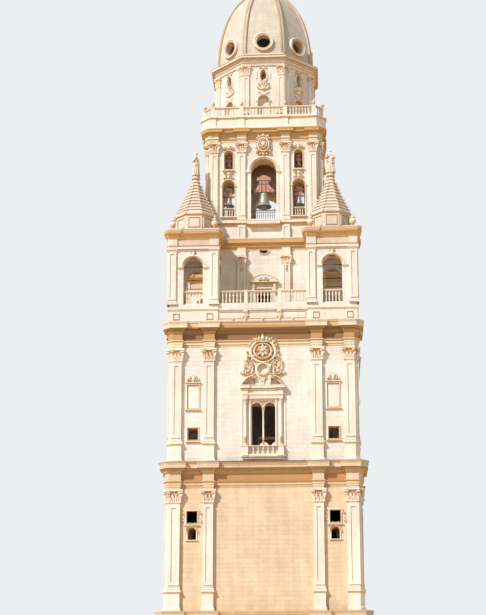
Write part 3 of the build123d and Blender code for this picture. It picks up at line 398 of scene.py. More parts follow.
def lathed(profile, sides=16):
    """A profile of (radius, height) pairs turned about the upright axis, closed at both ends."""
    radius, height = np.asarray(profile, float).T[:, :, None]
    return closed(spread(radius * np.cos(angles(sides)), radius * np.sin(angles(sides)), height))


def tube(path, radius, sides=6):
    """A round bar of constant or changing radius along a path in space."""
    path = np.asarray(path, float)
    along = unit(np.gradient(path, axis=0))
    helper = np.where(np.abs(along[:, 2:]) < 0.9, [[0.0, 0.0, 1.0]], [[1.0, 0.0, 0.0]])
    across = unit(np.cross(along, helper))
    angle = angles(sides)[:, None]
    circle = np.cos(angle) * across[:, None] + np.sin(angle) * np.cross(along, across)[:, None]
    return closed(path[:, None] + np.broadcast_to(radius, len(path))[:, None, None] * circle)


def smooth(t):
    """The curve that eases from nought to one."""
    t = np.clip(t, 0, 1)
    return t * t * (3 - 2 * t)


def cyma(start, end, steps=5):
    """Points of an S-shaped moulding between two (reach, height) pairs."""
    t = np.linspace(0, 1, steps)
    return [(start[0] + (end[0] - start[0]) * smooth(u), start[1] + (end[1] - start[1]) * u) for u in t]


def torus(reach, low_z, high_z, bulge, steps=5):
    """Points of a half-round moulding that swells out by bulge between two heights."""
    t = np.linspace(0, math.pi, steps)
    middle = (low_z + high_z) / 2
    half = (high_z - low_z) / 2
    return [(reach + bulge * math.sin(a), middle - half * math.cos(a)) for a in t]


def at(level, profile):
    """A profile drawn in millimetres, as metres and raised to a level."""
    return [(reach / 1000, level + height / 1000) for reach, height in profile]


def square_plan(half, chamfer=0.0):
    """A square plan with cut corners, anticlockwise."""
    side = np.array([[chamfer - half, -half], [half - chamfer, -half]] if chamfer else [[-half, -half]])
    return four_times(side)


def four_times(side):
    """The front side of a plan and its three turned copies, in order."""
    turns = [np.array([[c, s], [-s, c]]) for c, s in ((1, 0), (0, 1), (-1, 0), (0, -1))]
    return np.concatenate([side @ turn for turn in turns])


def rectangle(x0, x1, y0, y1):
    """A rectangle's corners, anticlockwise."""
    return np.array([[x0, y0], [x1, y0], [x1, y1], [x0, y1]])


def octagon(apothem):
    """An octagon's corners with a flat side to the front, anticlockwise."""
    angle = -math.pi / 2 + EIGHTH * (np.arange(8) + 0.5)
    return apothem / math.cos(EIGHTH / 2) * np.stack([np.cos(angle), np.sin(angle)], -1)


def broken_plan(half, projection, breaks, corner_start, chamfer):
    """A square plan that steps forward over each pilaster, given as centre and half width."""
    out = half + projection
    right = [(out - chamfer, -out), (corner_start, -out), (corner_start, -half)]
    for centre, reach in sorted(breaks, reverse=True):
        right += [(centre + reach, -half), (centre + reach, -out), (centre - reach, -out),
                  (centre - reach, -half)]
    right = np.array(right)
    return four_times(np.concatenate([right * [-1, 1], right[::-1]]))


def arch_path(half, springing, foot, steps):
    """The edge of a round-headed opening, from its left foot over the crown to its right foot."""
    angle = np.linspace(math.pi, 0, steps)
    curve = np.stack([half * np.cos(angle), springing + half * np.sin(angle)], -1)
    return np.concatenate([[[-half, foot]], curve, [[half, foot]]]) if foot < springing else curve


def relief(width, height, cell, parts, lift=0.0):
    """Carving as a height field: the highest of several drawn parts at each point of a flat grid.

    All of it is drawn in millimetres. The sheet is sunk behind the wall where nothing is drawn, and one
    face closes its back."""
    sunk = -1000 * GRIP
    columns = max(3, int(round(width / cell)) + 1)
    rows = max(3, int(round(height / cell)) + 1)
    u, v = np.meshgrid(np.linspace(-width / 2, width / 2, columns), np.linspace(0, height, rows))
    top = np.full(u.shape, sunk)
    for part in parts:
        drawn = part(u, v)
        top = np.maximum(top, np.where(drawn > 0, drawn + lift, sunk))
    edge = np.zeros(u.shape, bool)
    edge[[0, -1]] = True
    edge[:, [0, -1]] = True
    top[edge] = sunk
    shape = surface(np.stack([u, v, top], -1) / 1000)
    index = np.arange(rows * columns).reshape(rows, columns)
    border = np.concatenate([index[0, :-1], index[:-1, -1], index[-1, :0:-1], index[:0:-1, 0]])
    return shape[0], np.concatenate([shape[1], border[::-1]]), np.concatenate([shape[2], [len(border)]])


def oval(x, z, a, b, rise, base=0.0):
    """A domed oval: its height falls off as the root of one less the squared distance."""
    def part(u, v):
        d = 1 - ((u - x) / a) ** 2 - ((v - z) / b) ** 2
        return np.where(d > 0, base + rise * np.sqrt(np.clip(d, 0, 1)), -1)
    return part


def oval_ring(x, z, a, b, width, rise, base=0.0):
    """A rounded ridge that follows an oval."""
    def part(u, v):
        d = (np.sqrt(((u - x) / a) ** 2 + ((v - z) / b) ** 2) - 1) * min(a, b) / width
        return np.where(np.abs(d) < 1, base + rise * np.sqrt(np.clip(1 - d * d, 0, 1)), -1)
    return part


def stroke(points, width, rise, base=0.0):
    """A rounded ridge along a bent line, as the distance to its nearest run; it tapers to its end."""
    points = np.asarray(points, float)

    def part(u, v):
        best = np.full(u.shape, -1.0)
        runs = len(points) - 1
        for k in range(runs):
            start, end = points[k], points[k + 1]
            run = end - start
            t = np.clip(((u - start[0]) * run[0] + (v - start[1]) * run[1]) / (run @ run), 0, 1)
            size = width * (1 - 0.55 * (k + t) / runs)
            d = np.hypot(u - start[0] - t * run[0], v - start[1] - t * run[1]) / size
            best = np.maximum(best, np.where(d < 1, base + rise * np.sqrt(np.clip(1 - d * d, 0, 1)), -1))
        return best
    return part


def scroll(x, z, size, turn, start, width, rise, base=0.0):
    """A spiral ridge that winds in to a round eye; its width is a share of its size."""
    angle = np.linspace(0, 3.2 * math.pi, 26)
    radius = size * np.exp(-0.2 * angle)
    path = np.stack([x + turn * radius * np.cos(angle + start), z + radius * np.sin(angle + start)], -1)
    ridge = stroke(path, width * size, rise, base)
    eye = oval(x, z, 0.24 * size, 0.24 * size, 1.2 * rise, base)
    return lambda u, v: np.maximum(ridge(u, v), eye(u, v))


def slab(x0, x1, z0, z1, rise, bevel=3):
    """A flat raised field with sloped edges."""
    def part(u, v):
        d = np.minimum(np.minimum(u - x0, x1 - u), np.minimum(v - z0, z1 - v))
        return np.where(d > 0, rise * np.clip(d / bevel, 0, 1), -1)
    return part


def leaf(x, z, length, width, angle, rise, base=0.0):
    """A ribbed pointed leaf that swells towards its tip."""
    c, s = math.cos(angle), math.sin(angle)

    def part(u, v):
        t = ((u - x) * c + (v - z) * s) / length
        p = (-(u - x) * s + (v - z) * c) / width
        half = np.sin(math.pi * np.clip(t, 0, 1) ** 0.8) * 0.5 + 1e-6
        d = np.abs(p) / half
        ribs = 1 + 0.18 * np.cos(9 * math.pi * p)
        return np.where((t > 0) & (t < 1) & (d < 1),
                        base + rise * (0.45 + 0.55 * t) * np.sqrt(np.clip(1 - d * d, 0, 1)) * ribs, -1)
    return part


def pairs(kind, *rows):
    """Drawn parts of one kind, each with its twin mirrored about the middle line."""
    def mirrored_part(right):
        return lambda u, v: np.maximum(right(u, v), right(-u, v))
    return [mirrored_part(kind(*row)) for row in rows]


def capital(plan, height, flare, leaf_width, cell=0.006):
    """A leafy capital: a bell that flares upwards round a plan, with two rows of leaves and scrolls."""
    columns, place, outward, corner = [], [], [], []
    for start, end, mitre in zip(plan, np.roll(plan, -1, 0), mitres(plan)):
        length = np.linalg.norm(end - start)
        count = max(2, int(length / cell))
        t = np.arange(count) / count
        normal = np.array([end[1] - start[1], start[0] - end[0]]) / length
        columns.append(start + t[:, None] * (end - start))
        place.append((t - 0.5) * length)
        outward.append(np.concatenate([[mitre], np.repeat([normal], count - 1, 0)]))
        corner.append(np.minimum(t, 1 - t) * length)
    columns, outward = np.concatenate(columns), np.concatenate(outward)
    place, corner = np.concatenate(place), np.concatenate(corner)
    v = np.linspace(0, 1, 24)[:, None]
    bell = flare * (0.05 + 0.35 * v ** 2.2)

    def row(top, shift, reach):
        t = np.clip(v / top, 0, 1)
        p = ((place / leaf_width + shift) % 1.0 - 0.5) * 2
        half = np.clip(1.02 - t ** 4, 0.02, 1)
        body = np.sqrt(np.clip(1 - (p / half) ** 2, 0, 1)) * (1 + 0.25 * np.cos(5 * math.pi * p))
        return np.where(v < top, reach * (0.3 + 0.7 * t ** 3) * body, 0)
    leaves = np.maximum(row(0.36, 0.5, 0.8 * flare), row(0.66, 0.0, 0.95 * flare))
    near = np.exp(-(corner / (0.42 * leaf_width)) ** 2)
    scrolls = flare * 0.75 * near * np.exp(-((v - 0.76) / 0.11) ** 2)
    middle = flare * 0.4 * np.exp(-(place / (0.22 * leaf_width)) ** 2) * np.exp(-((v - 0.88) / 0.08) ** 2)
    abacus = np.where(v > 0.86, flare * (0.78 + 0.22 * near), 0)
    flat = columns + np.maximum(bell + leaves + scrolls + middle, abacus)[:, :, None] * outward
    return closed(spread(flat[..., 0], flat[..., 1], v * height))


# Finished pieces


def hollows(mesh, rounds):
    """How deep each point lies in a hollow, in mm: its neighbours' mean place less its own, along its normal.

    The mean is taken over a few rounds, so that wider hollows count as well, and it is held within 2 mm."""
    count = len(mesh.vertices)
    points, normals = np.empty((2, 3 * count), np.float32)
    mesh.vertices.foreach_get("co", points)
    mesh.vertex_normals.foreach_get("vector", normals)
    ends = np.empty(2 * len(mesh.edges), np.int32)
    mesh.edges.foreach_get("vertices", ends)
    points, normals = points.reshape(-1, 3), normals.reshape(-1, 3)
    start, end = ends.reshape(-1, 2).T
    shares = np.maximum(np.bincount(ends, minlength=count), 1)
    mean = points
    for _ in range(rounds):
        mean = np.stack([np.bincount(start, mean[end, k], count) + np.bincount(end, mean[start, k], count)
                         for k in range(3)], -1) / shares[:, None]
    return np.clip(1000 * ((mean - points) * normals).sum(1), -2, 2)


def piece(name, shape, finish_name="Carved stone", body=BODY, replaced=(), angle=None,
          shadow_band=(0.0, 0.0), shadow_and_soot=0.8, rounds=3):
    """A mesh object made from a shape, riding on its body, with its finish.

    Edges sharper than the angle, in degrees, stay sharp. Between the two heights of the shadow band, a number
    is added to the hollows' depth: a few mm make the band as brown as a hollow of that depth and more make it
    darker, as painted shadow of the cornice with some real soot, and the large negative value for gold turns
    the band gold, as painted warm shade. The hollows are averaged over some rounds, fewer where the painted
    shade has to stay narrow."""
    points, corners, counts = shape
    mesh = bpy.data.meshes.new(name)
    mesh.vertices.add(len(points))
    mesh.vertices.foreach_set("co", np.ascontiguousarray(points, np.float32).ravel())
    mesh.loops.add(len(corners))
    mesh.loops.foreach_set("vertex_index", np.ascontiguousarray(corners, np.int32))
    mesh.polygons.add(len(counts))
    starts = np.concatenate([[0], np.cumsum(counts)[:-1]])
    mesh.polygons.foreach_set("loop_start", starts.astype(np.int32))
    mesh.update(calc_edges=True)
    mesh.validate()
    depth = hollows(mesh, rounds)
    depth[(points[:, 2] > shadow_band[0]) & (points[:, 2] < shadow_band[1])] += shadow_and_soot
    mesh.attributes.new("hollow", "FLOAT", "POINT").data.foreach_set("value", depth.astype(np.float32))
    obj = bpy.data.objects.new(name, mesh)
    bpy.context.scene.collection.objects.link(obj)
    if angle:
        mesh.shade_smooth()
        mesh.set_sharp_from_angle(angle=math.radians(angle))
    mesh.materials.append(bpy.data.materials[finish_name])
    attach(obj, body)
    if replaced:
        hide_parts(*replaced)


def dress(node, finish_name):
    """Gives a node of the frame its finish."""
    obj = frame["nodes"][node]
    material = bpy.data.materials[finish_name]
    if not obj.material_slots:
        obj.data.materials.append(material)
    for slot in obj.material_slots:
        slot.material = material


# Finishes


def shader(tree, kind, inputs=None, **settings):
    """A shader node with its settings; each input is a fixed value or an output to link from."""
    made = tree.nodes.new("ShaderNode" + kind)
    for key, value in settings.items():
        setattr(made, key, value)
    for key, value in (inputs or {}).items():
        if isinstance(value, bpy.types.NodeSocket):
            tree.links.new(value, made.inputs[key])
        else:
            made.inputs[key].default_value = value
    return made


def sums(tree, operation, *values):
    """The result of one arithmetic step."""
    return shader(tree, "Math", dict(enumerate(values)), operation=operation).outputs[0]


def blend_colours(tree, factor, first, second, mode="MIX"):
    """Two colours mixed by a factor."""
    return shader(tree, "Mix", {0: factor, 6: first, 7: second}, data_type="RGBA", blend_type=mode).outputs[2]


def ranged(tree, value, low_in, high_in, low_out=0.0, high_out=1.0):
    """A value mapped from one range to another, held at its ends."""
    return shader(tree, "MapRange", {0: value, 1: low_in, 2: high_in, 3: low_out, 4: high_out}).outputs[0]


def noise(tree, vector, scale, detail, roughness=0.5):
    """A cloudy pattern's value."""
    return shader(tree, "TexNoise", {"Vector": vector, "Scale": scale, "Detail": detail,
                                     "Roughness": roughness}).outputs[0]


def new_group(name, inputs, outputs):
    """An empty node group with its sockets; returns its tree and the inner ends of its inputs and outputs."""
    tree = bpy.data.node_groups.new(name, "ShaderNodeTree")
    for label, kind, default in inputs:
        tree.interface.new_socket(label, in_out="INPUT", socket_type=kind).default_value = default
    for label, kind in outputs:
        tree.interface.new_socket(label, in_out="OUTPUT", socket_type=kind)
    return tree, tree.nodes.new("NodeGroupInput").outputs, tree.nodes.new("NodeGroupOutput").inputs


def new_material(name, rough, metal=0.0):
    """An empty finish; returns its tree and its surface shader."""
    material = bpy.data.materials.new(name)
    material.use_nodes = True
    skin = material.node_tree.nodes["Principled BSDF"]
    skin.inputs["Roughness"].default_value = rough
    skin.inputs["Metallic"].default_value = metal
    return material.node_tree, skin


def used_group(tree, name, inputs):
    """The outputs of a node group used in a finish."""
    return shader(tree, "Group", inputs, node_tree=bpy.data.node_groups[name]).outputs


def weathering_and_shade_group():
    """Stone tints: painted warm shade in gold under ledges, painted shade in brown in hollows, soot and
    painted shadow on the frieze bands, grey dust on ledges and faint rain streaks.
    """
    tree, given, result = new_group(
        "Stone weathering and painted shade",
        [("Colour", "NodeSocketColor", (0.8, 0.7, 0.55, 1)), ("Gold", "NodeSocketFloat", 0.5),
         ("Brown", "NodeSocketFloat", 0.6), ("Grey", "NodeSocketFloat", 0.4)],
        [("Colour", "NodeSocketColor"), ("Height", "NodeSocketFloat")])
    place = shader(tree, "TexCoord").outputs["Object"]
    normal = shader(tree, "SeparateXYZ", {0: shader(tree, "NewGeometry").outputs["Normal"]}).outputs[2]
    clouds = noise(tree, place, 2.3, 5.0, 0.6)
    streaks = noise(tree, shader(tree, "Mapping", {0: place, 3: (9.0, 9.0, 1.1)}).outputs[0], 2.0, 4.0)
    grain = noise(tree, place, 90.0, 3.0, 0.7)
    deep = shader(tree, "Attribute", attribute_name="hollow").outputs["Fac"]
    # Points deep in a hollow turn brown: painted shade in creases and recesses
    hollow = ranged(tree, deep, 0.05, 0.9)
    # Faces turned down are tinted gold: painted warm shade under ledges
    under = ranged(tree, normal, -0.05, -0.7)
    above = ranged(tree, normal, 0.35, 0.9)
    cloudy = ranged(tree, clouds, 0.3, 0.7, 0.88, 1.08)
    streaky = ranged(tree, streaks, 0.36, 0.62, 0.92, 1.03)
    grainy = ranged(tree, grain, 0.3, 0.7, 0.93, 1.06)
    shade = sums(tree, "MULTIPLY", sums(tree, "MULTIPLY", cloudy, streaky), grainy)
    toned = blend_colours(tree, 1.0, given["Colour"],
                          shader(tree, "CombineXYZ", {0: shade, 1: shade, 2: shade}).outputs[0], "MULTIPLY")
    brown = blend_colours(tree, sums(tree, "MULTIPLY", hollow, given["Brown"]), toned,
                          solid(colours().hollow_shade_brown))
    # A band whose depth was pushed far below nought turns gold: painted warm shade along a cornice
    gold_band_shade = ranged(tree, deep, -10.0, -30.0, 0.0, 0.85)
    warm_shade_mask = sums(tree, "MAXIMUM", sums(tree, "MULTIPLY", under, given["Gold"]), gold_band_shade)
    golden = blend_colours(tree, warm_shade_mask, brown, solid(colours().warm_shade_gold))
    # Bands pushed deeper than any hollow turn dark: painted shadow of the cornice on the frieze, partly real
    # soot
    shadowed_and_sooty = blend_colours(tree, ranged(tree, deep, 2.0, 4.5), golden, solid(colours().shadow_and_soot))
    dusty = sums(tree, "MULTIPLY", sums(tree, "MULTIPLY", above, given["Grey"]),
                 ranged(tree, clouds, 0.35, 0.6, 0.5, 1.0))
    tree.links.new(blend_colours(tree, dusty, shadowed_and_sooty, solid(colours().dust)), result["Colour"])
    tree.links.new(grain, result["Height"])


def courses_group():
    """Squared stones in courses on any upright face: across is y times the normal's x less x times its y."""
    tree, given, result = new_group(
        "Stone courses",
        [("Colour", "NodeSocketColor", (0.8, 0.7, 0.55, 1)),
         ("Joint", "NodeSocketFloat", sizes().joint_width)],
        [("Colour", "NodeSocketColor"), ("Height", "NodeSocketFloat")])
    place = shader(tree, "SeparateXYZ", {0: shader(tree, "TexCoord").outputs["Object"]}).outputs
    normal = shader(tree, "SeparateXYZ", {0: shader(tree, "NewGeometry").outputs["True Normal"]}).outputs
    across = sums(tree, "SUBTRACT", sums(tree, "MULTIPLY", place[1], normal[0]),
                  sums(tree, "MULTIPLY", place[0], normal[1]))
    flat = shader(tree, "CombineXYZ", {0: across, 1: place[2]}).outputs[0]
    bricks = shader(tree, "TexBrick", {
        "Vector": flat, "Color1": (1.03, 1.02, 1.02, 1), "Color2": (0.95, 0.93, 0.91, 1),
        "Mortar": solid(colours().mortar), "Scale": 1.0, "Mortar Size": given["Joint"], "Mortar Smooth": 0.6,
        "Bias": 0.1, "Brick Width": sizes().stone_length,
        "Row Height": sizes().course_height}, offset=0.5)
    joints = sums(tree, "SUBTRACT", 1.0, bricks.outputs["Fac"])
    tree.links.new(blend_colours(tree, 1.0, given["Colour"], bricks.outputs["Color"], "MULTIPLY"),
                   result["Colour"])
    tree.links.new(joints, result["Height"])


def stone(name, base_colour, gold, brown, grey, courses=False):
    """A stone finish: base colour, optional courses, weathering with painted shade, and a slight relief."""
    tree, skin = new_material(name, 0.86)
    skin.inputs["Specular IOR Level"].default_value = 0.25
    tinted = solid(base_colour)
    if courses:
        stones = used_group(tree, "Stone courses", {"Colour": tinted})
        tinted = stones["Colour"]
    worn_and_shaded = used_group(tree, "Stone weathering and painted shade",
                      {"Colour": tinted, "Gold": gold, "Brown": brown, "Grey": grey})
    height = worn_and_shaded["Height"]
    if courses:
        height = sums(tree, "ADD", sums(tree, "MULTIPLY", stones["Height"], 1.6), height)
    bump = shader(tree, "Bump", {"Strength": 0.7, "Distance": sizes().stone_relief, "Height": height})
    tree.links.new(worn_and_shaded["Colour"], skin.inputs["Base Color"])
    tree.links.new(bump.outputs[0], skin.inputs["Normal"])


def plain(name, base_colour, rough, metal, share, scale=30.0, stretch=(1, 1, 1)):
    """A finish of a colour and a share of it mixed by noise, for iron, bronze, lead and wood."""
    tree, skin = new_material(name, rough, metal)
    place = shader(tree, "Mapping", {0: shader(tree, "TexCoord").outputs["Object"], 3: stretch}).outputs[0]
    cloudy = noise(tree, place, scale, 5.0, 0.65)
    factor = ranged(tree, cloudy, 0.35, 0.65)
    other = solid(c * s for c, s in zip(base_colour, share))
    bump = shader(tree, "Bump", {"Strength": 0.6, "Distance": 0.0004, "Height": cloudy})
    tree.links.new(blend_colours(tree, factor, solid(base_colour), other), skin.inputs["Base Color"])
    tree.links.new(bump.outputs[0], skin.inputs["Normal"])


def make_finishes():
    """All the node groups and materials."""
    weathering_and_shade_group()
    courses_group()
    paint = colours()
    # The gold and brown shares set how much painted shade each stone gets, under ledges and in hollows
    stone("Ashlar", paint.wall, 0.8, 0.0, 0.5, courses=True)
    stone("Lower ashlar", paint.lower_wall, 0.8, 0.0, 0.5, courses=True)
    stone("Carved stone", paint.trim, 0.9, 0.85, 0.5)
    stone("Cornice stone", paint.cornice, 1.0, 0.85, 0.7)
    stone("Lower cornice stone", paint.lower_cornice, 1.0, 0.85, 0.7)
    stone("Spire stone", paint.roof, 0.75, 1.0, 0.3)
    stone("Dome stone", paint.dome, 0.5, 0.4, 0.4, courses=True)
    plain("Lead", paint.lead, 0.55, 0.2, (0.8, 0.82, 0.84))
    plain("Bell bronze", paint.bronze, 0.5, 0.55, (0.81, 0.92, 1.08))
    plain("Painted timber", paint.yoke, 0.6, 0.0, (0.8, 0.8, 0.83), 25.0, (1, 1, 0.2))
    plain("Forged iron", paint.iron, 0.55, 0.5, (1.7, 1.4, 1.1))
    plain("Oiled timber", paint.door, 0.6, 0.0, (0.64, 0.62, 0.64), 22.0, (1, 1, 0.12))


SLOT_FINISH = {"wall_stone": "Ashlar", "trim_stone": "Carved stone", "roof_stone": "Spire stone",
               "dome_stone": "Dome stone", "door_timber": "Oiled timber", "yoke_timber": "Painted timber",
               "bell_bronze": "Bell bronze", "iron": "Forged iron"}


def dress_frame():
    """Gives every node of the frame the finish of its slot; the lower storeys are a darker stone."""
    for part in frame["record"]["subparts"]:
        lower = part["node"] in ("stage1_walls", "stage2_walls")
        dress(part["node"], "Lower ashlar" if lower else SLOT_FINISH[part["material_slot"]])


# Stage


def make_stage():
    """Pale floor and backdrop, soft light, and the camera at the photo's viewing angle."""
    scene = bpy.context.scene
    wanted = scene.bell_tower_light
    world = bpy.data.worlds.new("Studio")
    scene.world = world
    world.use_nodes = True
    tree = world.node_tree
    ground = tree.nodes["Background"]
    rays = shader(tree, "LightPath").outputs
    seen = sums(tree, "MAXIMUM", rays["Is Camera Ray"],
                sums(tree, "MAXIMUM", rays["Is Glossy Ray"], rays["Is Transmission Ray"]))
    tree.links.new(blend_colours(tree, seen, solid(wanted.fill), solid(wanted.backdrop)),
                   ground.inputs["Color"])
    tree.links.new(ranged(tree, seen, 0.0, 1.0, wanted.fill_strength, 1.0), ground.inputs["Strength"])
    new_material("Floor", 0.9)[1].inputs["Base Color"].default_value = solid(wanted.floor)
    bpy.ops.mesh.primitive_plane_add(size=600, location=(0, 0, 0))
    floor = bpy.context.object
    floor.name = "floor"
    floor.data.materials.append(bpy.data.materials["Floor"])
    sun_data = bpy.data.lights.new("Sun", "SUN")
    sun_data.energy = wanted.sun_strength
    sun_data.angle = math.radians(3)
    sun_data.color = wanted.sun
    sun = bpy.data.objects.new("Sun", sun_data)
    scene.collection.objects.link(sun)
    sun.rotation_euler = (wanted.sun_tilt, 0, -wanted.sun_turn)
    camera_data = bpy.data.cameras.new("Camera")
    camera_data.lens = CAMERA_LENS
    camera_data.sensor_width = 36
    camera_data.shift_y = CAMERA_SHIFT
    camera = bpy.data.objects.new("Camera", camera_data)
    scene.collection.objects.link(camera)
    camera.location = CAMERA_PLACE
    camera.rotation_euler = (math.radians(90 + CAMERA_TILT), 0, math.radians(CAMERA_TURN))
    scene.camera = camera
    scene.view_settings.view_transform = "Standard"


# Classical parts


def copies(shape, places):
    """The same shape at many places, worked out together."""
    places = np.atleast_2d(np.asarray(places, float))
    count = len(places)
    points = (shape[0][None] + places[:, None]).reshape(-1, 3)
    corners = shape[1][None] + len(shape[0]) * np.arange(count)[:, None]
    return points, corners.ravel(), np.tile(shape[2], count)


def block(x0, x1, y0, y1, z0, z1):
    """One plain block between three pairs of limits."""
    return boxes([((x0 + x1) / 2, (y0 + y1) / 2, (z0 + z1) / 2)], [(x1 - x0, y1 - y0, z1 - z0)])


def pier_plan(half, projection, start, chamfer):
    """The L-shaped plan of the front right corner pier, wrapped round the wall's corner."""
    out = half + projection
    inner = half - GRIP
    return np.array([(start, -inner), (start, -out), (out - chamfer, -out), (out, chamfer - out),
                     (out, -start), (inner, -start), (inner, -inner)])


def dentils(plan, reach, level, height, depth, pitch):
    """Small blocks set evenly along every side of a plan: side start plus (k + 1/2) pitch along it."""
    plan = np.asarray(plan, float)
    plan = plan + reach * mitres(plan)
    rows = []
    for start, end in zip(plan, np.roll(plan, -1, 0)):
        length = np.linalg.norm(end - start)
        count = int(length / pitch)
        if count < 2:
            continue
        along = (end - start) / length
        t = (np.arange(count) + 0.5) * length / count
        row = boxes(spread(t, 0.002 - depth / 2, level + height / 2), (0.55 * pitch, depth + GRIP, height))
        x, y, z = row[0].T[:, :, None]
        flat = start + x * along + y * np.array([-along[1], along[0]])
        rows.append((np.concatenate([flat, z], 1), row[1], row[2]))
    return join(rows)


def entablature_profile(base, height, lip):
    """Three-step architrave, fillet, frieze, bed moulding, corona with drip, and a gutter moulding."""
    h = height
    steps = [(0.0, 0.0), (0.0, 0.08), (0.05, 0.085), (0.05, 0.165), (0.1, 0.17), (0.1, 0.235)]
    steps += cyma((0.12, 0.24), (0.26, 0.285)) + [(0.27, 0.29), (0.27, 0.315), (0.06, 0.325), (0.06, 0.58)]
    steps += cyma((0.08, 0.585), (0.2, 0.625)) + [(0.24, 0.63), (0.24, 0.71), (0.4, 0.715)]
    steps += torus(0.38, 0.715, 0.755, 0.1) + [(0.44, 0.76), (0.8, 0.775), (0.82, 0.765), (0.86, 0.765)]
    steps += [(0.86, 0.885), (0.89, 0.89)] + cyma((0.89, 0.9), (0.99, 0.975)) + [(1.0, 0.98), (1.0, 1.0)]
    return [(r * lip, base + v * h) for r, v in steps]


def entablature(plan, base, height, lip, inner, pitch):
    """A moulded entablature with its dentils, carried round a plan."""
    band = ring(plan, entablature_profile(base, height, lip), inner)
    return join([band, dentils(plan, 0.24 * lip, base + 0.63 * height, 0.075 * height, 0.16 * lip, pitch)])


def pedestal_profile(level, top, reach):
    """Plinth, die and cap of a pedestal."""
    shares = [(1, 0), (1, 0.13), *cyma((0.9, 0.15), (0.42, 0.23)), (0.36, 0.24), (0.36, 0.82),
              *cyma((0.42, 0.84), (1, 0.93)), (1.1, 0.94), (1.1, 1)]
    return [(a * reach, level + b * (top - level)) for a, b in shares]


def base_profile(level, top, reach):
    """Plinth, two half-round mouldings and the hollow between them."""
    shares = [(1, 0), (1, 0.22), *torus(0.7, 0.22, 0.56, 0.38), (0.45, 0.62), (0.4, 0.7),
              *torus(0.4, 0.72, 0.92, 0.25), (0.1, 1)]
    return [(a * reach, level + b * (top - level)) for a, b in shares]


def panelled(x0, x1, z0, z1, y, width, depth):
    """Stiles, rails and a bead that leave a sunk upright panel of the given width in a pilaster's face."""
    side = (x1 - x0 - width) / 2
    middle = (z0 + z1) / 2
    stile, rail = (side, depth + SKIN, z1 - z0), (width, depth + SKIN, side)
    frames = boxes(spread([x0 + side / 2, x1 - side / 2, (x0 + x1) / 2, (x0 + x1) / 2], y - depth / 2,
                          [middle, middle, z0 + side / 2, z1 - side / 2]), [stile, stile, rail, rail])
    bead = moulding(rectangle(x0 + side, x1 - side, z0 + side, z1 - side),
                    [(-0.08 * width, -SKIN), (SKIN, -SKIN),
                     (SKIN, 0.7 * depth), (-0.08 * width, 0.3 * depth)])
    return join([frames, upright(bead, y)])


def order(plans, faces, level, foot, start, end, top, reach, flare, leaf_width, depth=0.007):
    """Pedestal, base, shaft with sunk panels and leafy capital over each plan of a storey's front.

    Plans are the shafts' outlines; faces are (x0, x1, y) of the fronts that carry a sunk panel."""
    shapes = []
    for plan in plans:
        if foot > level:
            shapes.append(stack(plan, pedestal_profile(level, foot, reach)))
        shapes.append(stack(plan, base_profile(foot, start, 0.65 * reach)))
        shapes.append(stack(plan, [(0, start), (0, end - 0.012)] + torus(0, end - 0.012, end - 0.004, 0.003)
                            + [(0, end)]))
        shapes.append(moved(capital(plan, top - end, flare, leaf_width), z=end))
    for x0, x1, y in faces:
        shapes.append(panelled(x0, x1, start + 0.01, end - 0.02, y, 0.45 * (x1 - x0), depth))
    return join(shapes)


def lower_plan(half):
    """The plan of a lower storey's entablature, which steps forward over each pilaster."""
    return broken_plan(half, PILASTER_PROJECTION, [(PILASTER_CENTRE, PILASTER_HALF + LOWER_MARGIN)],
                       CORNER_START - LOWER_MARGIN, CHAMFER)


def lower_orders():
    """Pilasters, corner piers and entablatures of the three lower storeys."""
    depth = sizes().panel_depth
    for name, level, top in LOWER_STOREYS:
        half = STAGE_HALF[name]
        face = half + PILASTER_PROJECTION
        y = depth - face
        base = top - LOWER_ENTABLATURE
        foot = level + PEDESTAL_HEIGHT
        x0, x1 = PILASTER_CENTRE - PILASTER_HALF, PILASTER_CENTRE + PILASTER_HALF
        plans = [rectangle(x0, x1, y, GRIP - half), rectangle(-x1, -x0, y, GRIP - half),
                 pier_plan(half, PILASTER_PROJECTION - depth, CORNER_START, CHAMFER)]
        spans = [(x0, x1), (-x1, -x0), (CORNER_START, face - CHAMFER), (CHAMFER - face, -CORNER_START)]
        front = order(plans, [(a, b, y) for a, b in spans], level, foot, foot + BASE_HEIGHT,
                      base - CAPITAL_HEIGHT, base, 0.016, sizes().capital_flare, 0.036, depth)
        piece(name + "_carved_order", around(front), replaced=[name + "_pilasters"], angle=35)
        band = entablature(lower_plan(half), base, LOWER_ENTABLATURE, sizes().lower_cornice_reach,
                           half - RING_WIDTH, sizes().dentil_pitch)
        upper = name == "stage3"
        # The frieze band under the corona is darkened: painted shadow of the cornice, partly real soot
        piece(name + "_moulded_entablature", band, "Cornice stone" if upper else "Lower cornice stone",
              replaced=[name + "_entablature"], angle=30, shadow_band=(base + 0.086, base + 0.207),
              shadow_and_soot=3.6 if upper else 1.2)
    sheet = at(THIRD_FLOOR, [(8, -0.5), (52, -0.5), (66, -6), (66, -2), (53, 6), (8, 10)])
    piece("lead_flashing", moulding(lower_plan(STAGE_HALF["stage2"]), sheet), "Lead")


def frame_profile(width, height):
    """The section of a moulded picture-frame surround, from the opening outwards."""
    shares = [(1, 0.45), (0.86, 0.5), (0.8, 0.78), (0.6, 0.95), (0.52, 1), (0.4, 0.92), (0.34, 0.6),
              (0.12, 0.55), (0.06, 0.35), (0, 0.3)]
    return [(0, -0.003), (width, -0.003)] + [(a * width, b * height) for a, b in shares]


def block_on(y, x0, x1, out, profile):
    """A moulded block that stands out from a front face."""
    return stack(rectangle(x0, x1, y - out, y + GRIP), profile)


